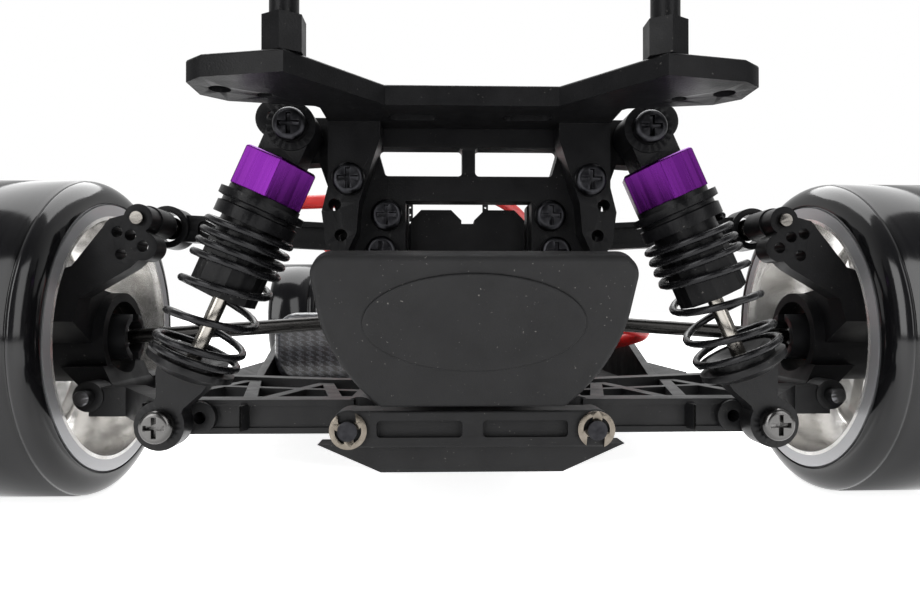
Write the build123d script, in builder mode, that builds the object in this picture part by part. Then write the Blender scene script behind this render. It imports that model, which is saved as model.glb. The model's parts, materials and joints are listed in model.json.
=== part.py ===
"""A 1/10 scale shaft-driven drift car with its body shell off.

Frame: millimetres, origin on the floor below the middle of the wheelbase, +X right, +Y forward, +Z up.
Every corner is modelled as the rear right one and mirrored to the other three.
"""
from build123d import *
from math import atan2, degrees, hypot, pi, radians, sin, tan
import os

# ---------------------------------------------------------------- driving dimensions
WHEELBASE = 260.0
TYRE_R = 32.5
WHEEL_IN = 73.0          # inner face of a wheel, from the centre plane
WHEEL_OUT = 99.0
RIM_R = 26.0             # seat of the tyre on the rim
LIP_R = 27.6
PIN_R = 1.45             # hinge pins
FIT = 0.06               # radial running clearance
ARM_PIN = (18.2, 20.6)   # inner hinge of a lower arm, x and z
HUB_PIN = (72.0, 21.6)   # outer hinge of a lower arm
LINK_PIN = (22.0, 53.5)  # inner pivot of an upper link
LINK_BALL = (61.7, 55.5)
SHOCK_TOP = (27.8, 66.6)
SHOCK_LOW = (48.4, 20.2)
KINGPIN_X = 79.0
TIE_ROD_Z = 28.6
HORN_R = 15.0            # ball circle of the steering horn and of each knuckle arm
SHAFT_Z = 36.4           # centre drive shaft and both differentials
CHASSIS_BOTTOM = 13.8

# Places behind the rear axle that several pieces share
AXLE_Y = -WHEELBASE / 2
AXLE_Z = TYRE_R
SHOCK_Y = AXLE_Y - 37.5
ARM_BACK = AXLE_Y - 33.0
ARM_FRONT = AXLE_Y + 3.0
TOWER_BACK = AXLE_Y - 32.0
BRACE_BACK = AXLE_Y - 46.5
BRACE_FRONT = AXLE_Y - 41.0

SIDES = ("left", "right")
ENDS = ("rear", "front")

# Planes that the corners share: the wheel from behind and from outside
WHEEL = Plane(origin=(0, AXLE_Y, AXLE_Z), x_dir=(1, 0, 0), z_dir=(0, -1, 0))
WHEEL_FACE = Plane(origin=(0, AXLE_Y, AXLE_Z), x_dir=(0, 1, 0), z_dir=(1, 0, 0))
WHEEL_AXIS = Axis((0, AXLE_Y, AXLE_Z), (1, 0, 0))

# The shock's own plane: local x square to the shock, local y down along it from the top eye
DROP = (SHOCK_LOW[0] - SHOCK_TOP[0], SHOCK_LOW[1] - SHOCK_TOP[1])
SHOCK_LENGTH = hypot(*DROP)
SHOCK_DIR = (DROP[0] / SHOCK_LENGTH, 0, DROP[1] / SHOCK_LENGTH)
SHOCK_SIDE = (-SHOCK_DIR[2], 0, SHOCK_DIR[0])
SHOCK_ORIGIN = (SHOCK_TOP[0], SHOCK_Y, SHOCK_TOP[1])
SHOCK = Plane(origin=SHOCK_ORIGIN, x_dir=SHOCK_SIDE, z_dir=(0, 1, 0))
SHOCK_AXIS = Axis(SHOCK_ORIGIN, SHOCK_DIR)

os.makedirs("parts", exist_ok=True)


# ---------------------------------------------------------------- helpers
def finish(piece, name):
    """Label a finished piece and write it."""
    piece.label = name
    export_step(piece, f"parts/{name}.step")


def joined(*pieces):
    """Several separate solids as one piece."""
    return Compound([solid for piece in pieces for solid in piece.solids()])


def at_corner(piece, end, side):
    """Carry a shape from the rear right corner to another corner."""
    if side == "left":
        piece = joined(*[solid.mirror(Plane.YZ) for solid in piece.solids()])
    if end == "front":
        piece = joined(*[solid.mirror(Plane.XZ) for solid in piece.solids()])
    return piece


def screw(seat, length, shank=1.3, head=2.6, height=1.9):
    """A cross-head screw; seat is the plane under its head, facing the head."""
    with BuildPart() as fastener:
        with BuildSketch(seat):
            Circle(shank)
        extrude(amount=-length)
        with BuildSketch(seat):
            Circle(head)
        extrude(amount=height)
        crown = fastener.faces().sort_by(Axis(seat.origin, seat.z_dir))[-1]
        fillet(crown.edges(), 0.45 * height)
        with BuildSketch(seat.offset(height)):
            Rectangle(0.75, 1.25 * head)
            Rectangle(1.25 * head, 0.75)
        extrude(amount=-0.6 * height, mode=Mode.SUBTRACT)
    return fastener.part


def across(y):
    """The plane across the car at y, seen from behind: local x is +X, local y is +Z."""
    return Plane(origin=(0, y, 0), x_dir=(1, 0, 0), z_dir=(0, -1, 0))


def along_shock(distance):
    """The plane square to the shock, this far below its top eye."""
    origin = [start + distance * step for start, step in zip(SHOCK_ORIGIN, SHOCK_DIR)]
    return Plane(origin=origin, x_dir=(0, 1, 0), z_dir=SHOCK_DIR)


def rod(start, end, radius):
    """A plain round bar between two points."""
    length = (Vector(*end) - Vector(*start)).length
    with BuildPart() as bar:
        with BuildSketch(Plane(origin=start, z_dir=Vector(*end) - Vector(*start))):
            Circle(radius)
        extrude(amount=length)
    return bar.part


# ---------------------------------------------------------------- wheels
SPOKES = 10
SHOULDER = 3.0           # how far the tyre's rounded shoulder reaches across
GROOVE = (1.0, 0.9)      # width and depth of the groove beside the shoulder
LIP_W = 0.9
WALL = 1.0


def make_tyre():
    """A hard drift tyre: flat tread, rounded shoulders, one narrow groove near the inner one."""
    groove_x = WHEEL_IN + SHOULDER + 0.4
    middle = (WHEEL_IN + WHEEL_OUT) / 2
    bead = WHEEL_IN + LIP_W
    with BuildPart() as tyre:
        with BuildSketch(WHEEL):
            with BuildLine():
                Line((middle, RIM_R), (bead, RIM_R))
                Line((bead, RIM_R), (bead, LIP_R))
                Line((bead, LIP_R), (WHEEL_IN + 0.2, LIP_R + 0.1))
                ThreePointArc(
                    (WHEEL_IN + 0.2, LIP_R + 0.1), (WHEEL_IN + 1.0, TYRE_R - 1.6), (groove_x, TYRE_R - 0.1)
                )
                Line((groove_x, TYRE_R - 0.1), (groove_x + 0.2, TYRE_R - GROOVE[1]))
                Line((groove_x + 0.2, TYRE_R - GROOVE[1]), (groove_x + GROOVE[0], TYRE_R - GROOVE[1]))
                Line((groove_x + GROOVE[0], TYRE_R - GROOVE[1]), (groove_x + GROOVE[0] + 0.2, TYRE_R))
                Line((groove_x + GROOVE[0] + 0.2, TYRE_R), (middle, TYRE_R))
                Line((middle, TYRE_R), (middle, RIM_R))
            make_face()
            with BuildLine():
                Line((middle, RIM_R), (middle, TYRE_R))
                Line((middle, TYRE_R), (WHEEL_OUT - SHOULDER, TYRE_R))
                ThreePointArc(
                    (WHEEL_OUT - SHOULDER, TYRE_R), (WHEEL_OUT - 0.9, TYRE_R - 1.6), (WHEEL_OUT - 0.2, LIP_R + 0.1)
                )
                Line((WHEEL_OUT - 0.2, LIP_R + 0.1), (WHEEL_OUT - LIP_W, LIP_R))
                Line((WHEEL_OUT - LIP_W, LIP_R), (WHEEL_OUT - LIP_W, RIM_R))
                Line((WHEEL_OUT - LIP_W, RIM_R), (middle, RIM_R))
            make_face()
        revolve(axis=WHEEL_AXIS)
    return tyre.part


DISC_X = (90.3, 93.0)    # the spoke disc at the hub
HEX_X = 86.6             # inner face of the drive hex
AXLE_R = 5.0
CUP_BORE = 3.7
CUP_X = {"rear": 69.3, "front": 75.2}    # mouth of the wheel's drive cup
SLOT_WIDTH = {"rear": 2.8, "front": 4.0}    # the front joint also steers, so it has more play


def make_rim():
    """A deep rim open towards the car, its spoke disc near the outer face, with axle, hex and nut."""
    with BuildPart() as rim:
        with BuildSketch(WHEEL):
            with BuildLine():
                Polyline(
                    (WHEEL_IN, RIM_R - WALL - 0.4), (WHEEL_IN, LIP_R), (WHEEL_IN + LIP_W, LIP_R),
                    (WHEEL_IN + LIP_W, RIM_R), (WHEEL_OUT - LIP_W, RIM_R), (WHEEL_OUT - LIP_W, LIP_R),
                    (WHEEL_OUT, LIP_R), (WHEEL_OUT, RIM_R - WALL), (96.6, RIM_R - WALL - 1.0),
                    (DISC_X[1], 9.0), (DISC_X[1], 2.1), (DISC_X[0], 2.1), (DISC_X[0], 9.5),
                    (93.4, RIM_R - WALL - 1.4), (91.0, RIM_R - WALL), (WHEEL_IN + 2.2, RIM_R - WALL),
                    close=True,
                )
            make_face()
        revolve(axis=WHEEL_AXIS)
        half_pitch = pi / SPOKES
        inner, outer = 11.0, 23.0
        with BuildSketch(WHEEL_FACE.offset(DISC_X[0] - 1.0)):
            with PolarLocations(0, SPOKES):
                Polygon(
                    (inner, -inner * sin(half_pitch) + 1.7), (outer, -outer * sin(half_pitch) + 1.9),
                    (outer, outer * sin(half_pitch) - 1.9), (inner, inner * sin(half_pitch) - 1.7),
                    align=None,
                )
        extrude(amount=WHEEL_OUT - DISC_X[0], mode=Mode.SUBTRACT)
    return rim.part


def make_axle(end):
    """The stub axle: slotted drive cup inboard, drive hex and wheel nut outboard."""
    mouth = CUP_X[end]
    with BuildPart() as axle:
        with BuildSketch(WHEEL_FACE.offset(mouth)):
            Circle(AXLE_R)
        extrude(amount=HEX_X - mouth)
        with BuildSketch(WHEEL_FACE.offset(mouth)):
            Circle(CUP_BORE)
            Rectangle(SLOT_WIDTH[end], 2 * AXLE_R + 1)
        extrude(amount=8.0, mode=Mode.SUBTRACT)
        with BuildSketch(WHEEL_FACE.offset(HEX_X)):
            RegularPolygon(6.0, 6, major_radius=False)
        extrude(amount=DISC_X[0] - HEX_X)
        with BuildSketch(WHEEL_FACE.offset(DISC_X[0])):
            Circle(2.1)
        extrude(amount=DISC_X[1] - DISC_X[0])
        with BuildSketch(WHEEL_FACE.offset(DISC_X[1])):
            RegularPolygon(3.5, 6, major_radius=False)
        extrude(amount=3.2)
        with BuildSketch(WHEEL_FACE.offset(DISC_X[1] + 3.2)):
            Circle(1.9)
        extrude(amount=1.6)
    return axle.part


# ---------------------------------------------------------------- lower arms
ARM_Z = (17.8, 23.4)
BEAM = 4.0
EYE_R = 2.9
EYE_Y = (9.6, 14.4)      # the two outer eyes, either side of the axle


def make_lower_arm():
    """A lattice arm: two beams, a zigzag web, a hinge barrel inboard and a fork outboard."""
    bottom, top = ARM_Z
    eye_mid = (EYE_Y[0] + EYE_Y[1]) / 2
    with BuildPart() as arm:
        with BuildSketch(Plane.XY.offset(bottom)):
            with BuildLine():
                Polyline(
                    (ARM_PIN[0], ARM_BACK + 2), (50.5, ARM_BACK + 2), (64.0, AXLE_Y - eye_mid),
                    (HUB_PIN[0], AXLE_Y - eye_mid),
                )
            trace(line_width=BEAM)
            with BuildLine():
                Polyline(
                    (ARM_PIN[0], ARM_FRONT - 2), (27.0, ARM_FRONT - 2), (58.0, AXLE_Y + eye_mid),
                    (HUB_PIN[0], AXLE_Y + eye_mid),
                )
            trace(line_width=BEAM)
        extrude(amount=top - bottom)
        with BuildSketch(Plane.XY.offset(bottom + 0.7)):
            with BuildLine():
                Polyline(
                    (22.0, ARM_BACK + 2), (29.0, ARM_FRONT - 2), (37.0, ARM_BACK + 2),
                    (46.0, AXLE_Y + 8.0), (54.0, AXLE_Y - 26.0), (60.5, AXLE_Y + eye_mid),
                )
            trace(line_width=2.4)
            with BuildLine():
                Polyline((ARM_PIN[0], AXLE_Y - 15.0), (61.0, AXLE_Y - 2.0))
            trace(line_width=2.4)
            with BuildLine():
                Polyline((60.0, AXLE_Y - 17.5), (60.0, AXLE_Y + eye_mid))
            trace(line_width=3.0)
        extrude(amount=top - bottom - 1.4)
        # the rails along the back beam
        with BuildSketch(across(ARM_BACK)):
            for rail_z in (bottom + 0.5, top - 0.5):
                with Locations((34.0, rail_z)):
                    Rectangle(30.0, 1.0)
        extrude(amount=0.5)
        # hinge barrel inboard
        with BuildSketch(across(ARM_BACK)):
            with Locations(ARM_PIN):
                Circle(3.2)
        extrude(amount=ARM_BACK - ARM_FRONT)
        # fork eyes outboard
        for eye_back in (AXLE_Y - EYE_Y[1], AXLE_Y + EYE_Y[0]):
            with BuildSketch(across(eye_back)):
                with Locations(HUB_PIN):
                    Circle(EYE_R)
            extrude(amount=EYE_Y[0] - EYE_Y[1])
        # seat of the shock screw, and the spare hole beside it
        with BuildSketch(across(ARM_BACK)):
            with Locations(SHOCK_LOW):
                Circle(3.0)
        extrude(amount=2.2)
        with BuildSketch(across(ARM_BACK)):
            with Locations((44.0, 20.6)):
                Circle(2.6)
        extrude(amount=1.4)
        # bores: hinge pin, hub pin, shock screw, spare hole
        with BuildSketch(across(ARM_BACK - 1)):
            with Locations(ARM_PIN):
                Circle(PIN_R + FIT)
        extrude(amount=ARM_BACK - ARM_FRONT - 2, mode=Mode.SUBTRACT)
        with BuildSketch(across(AXLE_Y - EYE_Y[1] - 1)):
            with Locations(HUB_PIN):
                Circle(PIN_R)
        extrude(amount=-2 * EYE_Y[1] - 2, mode=Mode.SUBTRACT)
        with BuildSketch(across(ARM_BACK - 3)):
            with Locations(SHOCK_LOW):
                Circle(1.3)
            with Locations((44.0, 20.6)):
                Circle(1.0)
        extrude(amount=-6.0, mode=Mode.SUBTRACT)
        # the barrel's ends stay clear of the hub between the fork eyes
        with BuildSketch(Plane.XY.offset(bottom - 1)):
            with Locations((HUB_PIN[0] + 2.0, AXLE_Y)):
                Rectangle(20.0, 2 * EYE_Y[0])
        extrude(amount=top, mode=Mode.SUBTRACT)
    return arm.part


def make_arm_fasteners():
    """The outer hinge pin and the shock's lower screw, which move with the arm."""
    pin = rod((HUB_PIN[0], AXLE_Y - 17.0, HUB_PIN[1]), (HUB_PIN[0], AXLE_Y + 16.0, HUB_PIN[1]), PIN_R)
    seat = Plane(origin=(SHOCK_LOW[0], SHOCK_Y - 2.3, SHOCK_LOW[1]), x_dir=(1, 0, 0), z_dir=(0, -1, 0))
    return joined(pin, screw(seat, 9.5))


# ---------------------------------------------------------------- hubs
BEARING = (7.5, 5.05, 4.0)    # outer radius, bore, width
STUD_R = 1.2
BALL_R = 2.4
CLUSTER = ((65.6, 52.9), (60.8, 50.2), (64.9, 48.7))    # spare link holes of a rear hub


def make_bearing(x):
    """A wheel bearing, its inner face at x."""
    outer, bore, width = BEARING
    with BuildPart() as bearing:
        with BuildSketch(WHEEL_FACE.offset(x)):
            Circle(outer)
            Circle(bore, mode=Mode.SUBTRACT)
        extrude(amount=width)
    return bearing.part


def make_stud(back):
    """The ball stud of an upper link: threaded end behind, collar, and the ball over the axle."""
    x, z = LINK_BALL
    with BuildPart() as stud:
        with BuildSketch(across(AXLE_Y)):
            with Locations(LINK_BALL):
                Circle(STUD_R)
        extrude(amount=AXLE_Y - back)
        with BuildSketch(across(AXLE_Y - 3.6)):
            with Locations(LINK_BALL):
                RegularPolygon(2.6, 6)
        extrude(amount=1.3)
        with Locations((x, AXLE_Y, z)):
            Sphere(BALL_R)
    return stud.part


HUB_X = (71.6, 86.0)     # barrel of a rear hub
HUB_R = 9.3
LUG_Y = 9.2


def make_rear_hub():
    """A hub: barrel for two bearings, lug on the arm's pin, and an arm up to the link's ball stud."""
    inner, outer = HUB_X
    with BuildPart() as hub:
        # barrel, swept back to the foot of the upright
        with BuildSketch(WHEEL_FACE.offset(inner)):
            Circle(HUB_R)
        extrude(amount=outer - inner)
        with BuildSketch(WHEEL_FACE.offset(inner + 2.2)):
            with BuildLine():
                Polyline((0, HUB_R - 0.1), (-13.0, HUB_R + 1.6), (-16.5, HUB_R - 1.0), (-16.5, 3.5),
                         (-HUB_R + 0.2, -1.0), (0, 0), close=True)
            make_face()
        extrude(amount=outer - inner - 2.2)
        # upright, leaning towards the car
        with BuildSketch(across(AXLE_Y - 12.0)):
            with BuildLine():
                Polyline((61.0, 57.0), (67.0, 55.4), (74.0, 46.5), (outer, 42.5), (outer, 36.0),
                         (inner + 2.2, 36.0), (inner + 1.0, 40.5), (63.0, 46.2), (59.6, 49.5), close=True)
            make_face()
            with Locations(LINK_BALL, *CLUSTER):
                Circle(2.7)
        extrude(amount=4.5)
        # boss in front of the link stud
        with BuildSketch(across(AXLE_Y - 5.2)):
            with Locations(LINK_BALL):
                Circle(3.0)
        extrude(amount=7.0)
        # lug on the hinge pin
        with BuildSketch(across(AXLE_Y + LUG_Y)):
            with Locations(HUB_PIN):
                Circle(EYE_R)
            with BuildLine():
                Polyline((HUB_PIN[0] - EYE_R, HUB_PIN[1]), (inner, 27.0), (80.0, 27.0),
                         (HUB_PIN[0] + EYE_R, HUB_PIN[1]), close=True)
            make_face()
        extrude(amount=2 * LUG_Y)
        # bores: barrel, bearing seats, hinge pin, link stud and spare holes
        with BuildSketch(WHEEL_FACE.offset(inner - 1)):
            Circle(6.2)
        extrude(amount=outer - inner + 2, mode=Mode.SUBTRACT)
        with BuildSketch(WHEEL_FACE.offset(inner - 1)):
            Circle(BEARING[0])
        extrude(amount=8.0, mode=Mode.SUBTRACT)
        with BuildSketch(WHEEL_FACE.offset(outer - BEARING[2])):
            Circle(BEARING[0])
        extrude(amount=BEARING[2] + 1, mode=Mode.SUBTRACT)
        with BuildSketch(across(AXLE_Y - 20.0)):
            with Locations(HUB_PIN):
                Circle(PIN_R + FIT)
        extrude(amount=-40.0, mode=Mode.SUBTRACT)
        with BuildSketch(across(AXLE_Y - 20.0)):
            with Locations(LINK_BALL):
                Circle(STUD_R)
            with Locations(*CLUSTER, (63.1, 52.3)):
                Circle(1.05)
        extrude(amount=-16.0, mode=Mode.SUBTRACT)
    return joined(
        hub.part, make_bearing(inner + 3.0), make_bearing(outer - BEARING[2]), make_stud(AXLE_Y - 17.4)
    )


WEB_X = (64.5, 68.5)     # inner web of a C-hub
FORK_Z = (22.0, 43.5)    # between the two kingpin plates


def make_c_hub():
    """The front C-hub: it hinges on the arm and holds the knuckle between two kingpins."""
    low, high = FORK_Z
    with BuildPart() as hub:
        with BuildSketch(across(AXLE_Y + LUG_Y)):
            with BuildLine():
                Polyline(
                    (WEB_X[0], 25.6), (WEB_X[0], high + 3.6), (KINGPIN_X, high + 3.6), (KINGPIN_X, high),
                    (WEB_X[1], high), (WEB_X[1], 26.2), (HUB_PIN[0] + 1.5, HUB_PIN[1] + 2.4),
                    (HUB_PIN[0] + 4.0, low), (KINGPIN_X, low), (KINGPIN_X, low - 3.2),
                    (HUB_PIN[0], HUB_PIN[1] - EYE_R), (HUB_PIN[0] - EYE_R, HUB_PIN[1]), close=True,
                )
            make_face()
            with Locations(HUB_PIN):
                Circle(EYE_R)
        extrude(amount=2 * LUG_Y)
        # the kingpin plates narrow to round ends
        with BuildSketch(Plane.XY.offset(low - 4.0)):
            with Locations((KINGPIN_X, AXLE_Y + LUG_Y), (KINGPIN_X, AXLE_Y - LUG_Y)):
                Rectangle(9.0, 9.4)
        extrude(amount=30.0, mode=Mode.SUBTRACT)
        for plate_z, thick in ((low - 3.2, 3.2), (high, 3.6)):
            with BuildSketch(Plane.XY.offset(plate_z)):
                with Locations((KINGPIN_X, AXLE_Y)):
                    Circle(4.5)
            extrude(amount=thick)
        # horn for the upper link's ball stud
        with BuildSketch(across(AXLE_Y - 5.2)):
            with BuildLine():
                Polyline((WEB_X[0], high + 1.0), (73.0, high + 3.0), (64.0, 57.5), (59.6, 55.5), close=True)
            make_face()
            with Locations(LINK_BALL):
                Circle(3.0)
        extrude(amount=4.0)
        # drive shaft window, hinge pin, kingpins, ball stud
        with BuildSketch(Plane(origin=(60, AXLE_Y, 33.4), x_dir=(0, 1, 0), z_dir=(1, 0, 0))):
            Circle(6.4)
        extrude(amount=10.0, mode=Mode.SUBTRACT)
        with BuildSketch(across(AXLE_Y + 20.0)):
            with Locations(HUB_PIN):
                Circle(PIN_R + FIT)
        extrude(amount=40.0, mode=Mode.SUBTRACT)
        with BuildSketch(Plane.XY.offset(low - 5.0)):
            with Locations((KINGPIN_X, AXLE_Y)):
                Circle(1.5)
        extrude(amount=40.0, mode=Mode.SUBTRACT)
        with BuildSketch(across(AXLE_Y)):
            with Locations(LINK_BALL):
                Circle(STUD_R)
        extrude(amount=20.0, mode=Mode.SUBTRACT)
    top_seat = Plane(origin=(KINGPIN_X, AXLE_Y, high + 3.6), x_dir=(1, 0, 0), z_dir=(0, 0, 1))
    low_seat = Plane(origin=(KINGPIN_X, AXLE_Y, low - 3.2), x_dir=(1, 0, 0), z_dir=(0, 0, -1))
    return joined(
        hub.part, make_stud(AXLE_Y - 10.2), screw(top_seat, 6.7, 1.5, 2.7, 1.6), screw(low_seat, 5.6, 1.5, 2.7, 1.2)
    )


KNUCKLE_X = (75.5, 86.0)
KNUCKLE_R = 8.6
TIE_Y = AXLE_Y + HORN_R
TAB_Z = TIE_ROD_Z - 3.6  # underside of the tabs that carry the tie rod balls
TIE_BALL_R = 1.6


def tie_ball(x, y):
    """A small ball on a short upright stud, above a tab."""
    with BuildPart() as ball:
        with BuildSketch(Plane.XY.offset(TAB_Z + 1.6)):
            with Locations((x, y)):
                Circle(0.9)
        extrude(amount=TIE_ROD_Z - TAB_Z - 1.6)
        with Locations((x, y, TIE_ROD_Z)):
            Sphere(TIE_BALL_R)
    return ball.part


def make_knuckle():
    """The steering knuckle: a bearing barrel with a boss for each kingpin and an arm for the tie rod."""
    inner, outer = KNUCKLE_X
    low, high = FORK_Z
    with BuildPart() as knuckle:
        with BuildSketch(WHEEL_FACE.offset(inner)):
            Circle(KNUCKLE_R)
        extrude(amount=outer - inner)
        with BuildSketch(Plane.XY.offset(low + 0.4)):
            with Locations((KINGPIN_X, AXLE_Y)):
                Circle(3.4)
        extrude(amount=high - low - 0.8)
        with BuildSketch(Plane.XY.offset(TAB_Z)):
            with BuildLine():
                Polyline((KINGPIN_X - 2.6, TIE_Y), (KINGPIN_X - 2.8, AXLE_Y + 4.0), (84.0, AXLE_Y + 4.0),
                         (83.0, AXLE_Y + 9.0), (KINGPIN_X + 2.6, TIE_Y), close=True)
            make_face()
            with Locations((KINGPIN_X, TIE_Y)):
                Circle(2.6)
        extrude(amount=1.6)
        with BuildSketch(WHEEL_FACE.offset(inner - 1)):
            Circle(6.2)
        extrude(amount=outer - inner + 2, mode=Mode.SUBTRACT)
        with BuildSketch(WHEEL_FACE.offset(outer - BEARING[2])):
            Circle(BEARING[0])
        extrude(amount=BEARING[2] + 1, mode=Mode.SUBTRACT)
        with BuildSketch(WHEEL_FACE.offset(inner - 1)):
            Circle(BEARING[0])
        extrude(amount=BEARING[2] + 1.6, mode=Mode.SUBTRACT)
        with BuildSketch(Plane.XY.offset(low)):
            with Locations((KINGPIN_X, AXLE_Y)):
                Circle(1.5 + FIT)
        extrude(amount=2.7, mode=Mode.SUBTRACT)
        with BuildSketch(Plane.XY.offset(high)):
            with Locations((KINGPIN_X, AXLE_Y)):
                Circle(1.5 + FIT)
        extrude(amount=-3.9, mode=Mode.SUBTRACT)
    return joined(
        knuckle.part, make_bearing(inner + 0.6), make_bearing(outer - BEARING[2]), tie_ball(KINGPIN_X, TIE_Y)
    )


# ---------------------------------------------------------------- links and tie rods
LINK_EYE = 3.7
BALL_GAP = 0.7           # play of an opened ball joint


def make_upper_link():
    """A flat link from a pivot on the gearbox to the hub's ball stud."""
    inner_x, inner_z = LINK_PIN
    outer_x, outer_z = LINK_BALL
    rise = degrees(atan2(outer_z - inner_z, outer_x - inner_x))
    middle = ((inner_x + outer_x) / 2, (inner_z + outer_z) / 2)
    with BuildPart() as link:
        with BuildSketch(across(AXLE_Y + 1.7)):
            with Locations(Location((*middle, 0), (0, 0, rise))):
                Rectangle(outer_x - inner_x, 5.6)
        extrude(amount=3.4)
        with BuildSketch(across(AXLE_Y + 2.8)):
            with Locations(LINK_PIN):
                Circle(LINK_EYE)
            with Locations(LINK_BALL):
                Circle(BALL_R + BALL_GAP + 1.3)
        extrude(amount=5.6)
        # hollow flanks leave an I section
        for flank in (AXLE_Y - 2.8, AXLE_Y + 2.8):
            with BuildSketch(across(flank)):
                with Locations(Location((*middle, 0), (0, 0, rise))):
                    RectangleRounded(outer_x - inner_x - 12.0, 3.4, 1.2)
            extrude(amount=2.1 if flank > AXLE_Y else -2.1, mode=Mode.SUBTRACT)
        with BuildSketch(across(AXLE_Y + 4.0)):
            with Locations(LINK_PIN):
                Circle(1.3 + FIT)
            with Locations(LINK_BALL):
                Circle(BALL_R + BALL_GAP)
        extrude(amount=8.0, mode=Mode.SUBTRACT)
    return link.part


RACK_Y = -TIE_Y          # the rack is at the front
RACK_X = ARM_PIN[0]      # half the distance between the rack's balls
RING = (TIE_BALL_R + 1.3, TIE_BALL_R + 2.5)
ROD_Y = TIE_Y - 0.6      # half of the sideways travel of the knuckle's ball at full lock


def make_tie_rod():
    """A straight rod with a ring at each end, lying across the car."""
    inner, outer = RING
    with BuildPart() as tie:
        with BuildSketch(Plane(origin=(RACK_X + 3.4, ROD_Y, TIE_ROD_Z), x_dir=(0, 1, 0), z_dir=(1, 0, 0))):
            RegularPolygon(1.7, 6)
        extrude(amount=KINGPIN_X - RACK_X - 6.8)
        with BuildSketch(Plane.XY.offset(TIE_ROD_Z - 1.4)):
            with Locations((RACK_X, ROD_Y), (KINGPIN_X, ROD_Y)):
                Circle(outer)
        extrude(amount=2.8)
        with BuildSketch(Plane.XY.offset(TIE_ROD_Z - 2)):
            with Locations((RACK_X, ROD_Y), (KINGPIN_X, ROD_Y)):
                Circle(inner)
        extrude(amount=4.0, mode=Mode.SUBTRACT)
    return tie.part


# ---------------------------------------------------------------- drive shafts and differentials
CUP_OUT = 17.5           # mouth of a differential's drive cup
CUP_R = 4.8
SHAFT_IN = (14.5, SHAFT_Z)
SHAFT_OUT = {"rear": (72.0, AXLE_Z), "front": (KINGPIN_X, AXLE_Z)}
JOINT_R = 2.3
CROSS_PIN = {"rear": 4.5, "front": 3.9}    # half length of the outer cross pin


def make_drive_shaft(end):
    """A dogbone: a bar with a ball and a cross pin at each end."""
    inner_x, inner_z = SHAFT_IN
    outer_x, outer_z = SHAFT_OUT[end]
    start = (inner_x, AXLE_Y, inner_z)
    stop = (outer_x, AXLE_Y, outer_z)
    length = hypot(outer_x - inner_x, outer_z - inner_z)
    tilt = Vector((inner_z - outer_z) / length, 0, (outer_x - inner_x) / length)
    with BuildPart() as shaft:
        with BuildSketch(Plane(origin=start, z_dir=Vector(*stop) - Vector(*start))):
            Circle(1.5)
        extrude(amount=length)
        with Locations(start, stop):
            Sphere(JOINT_R)
        for ball, half in ((start, 4.5), (stop, CROSS_PIN[end])):
            with BuildSketch(Plane(origin=Vector(*ball) - tilt * half, z_dir=tilt)):
                Circle(0.85)
            extrude(amount=2 * half)
    return shaft.part


DIFF = Plane(origin=(0, AXLE_Y, SHAFT_Z), x_dir=(0, 1, 0), z_dir=(1, 0, 0))
RING_GEAR = ((2.6, 6.2), (4.6, 10.0), (6.2, 10.0), (6.2, 2.8))    # half profile, x and radius


def make_differential():
    """A locked differential: ring gear on one shaft with a slotted drive cup at each end."""
    with BuildPart() as diff:
        with BuildSketch(DIFF.offset(-CUP_OUT)):
            Circle(2.8)
        extrude(amount=2 * CUP_OUT)
        for mouth, inward in ((-CUP_OUT, 1), (CUP_OUT, -1)):
            with BuildSketch(DIFF.offset(mouth)):
                Circle(CUP_R)
            extrude(amount=inward * (CUP_OUT - 7.6))
            with BuildSketch(DIFF.offset(mouth)):
                Circle(CUP_BORE)
                Rectangle(2.8, 2 * CUP_R + 1)
            extrude(amount=inward * (CUP_OUT - 9.0), mode=Mode.SUBTRACT)
        with BuildSketch(Plane(origin=(0, AXLE_Y, SHAFT_Z), x_dir=(1, 0, 0), z_dir=(0, -1, 0))):
            with BuildLine():
                Polyline((2.6, 2.0), *RING_GEAR, (6.2, 2.0), close=True)
            make_face()
        revolve(axis=Axis((0, AXLE_Y, SHAFT_Z), (1, 0, 0)))
    return diff.part


# ---------------------------------------------------------------- shocks
CAP = (5.2, 11.7)        # anodised cap, from and to, along the shock from its top eye
CAP_R = 6.5
COLLAR_END = 16.6
BODY_END = 28.6
BODY_R = 5.1
SEAT = 39.8              # where the spring's last coil rests
SPRING = (17.3, 39.0)    # centres of the first and last coil
SPRING_R = 6.65
WIRE_R = 0.6
COILS = 8
CAP_TURN = 14.0


def make_shock_cap():
    """The hexagonal anodised cap, with a chamfer at each end."""
    with BuildPart() as cap:
        with BuildSketch(along_shock(CAP[0])):
            RegularPolygon(CAP_R, 6, rotation=CAP_TURN)
        extrude(amount=CAP[1] - CAP[0])
        rims = cap.faces().sort_by(SHOCK_AXIS)
        chamfer(rims[0].edges(), 0.35)
        with BuildSketch(along_shock(CAP[0] - 1)):
            Circle(2.5)
        extrude(amount=CAP[1], mode=Mode.SUBTRACT)
    return cap.part


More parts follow.
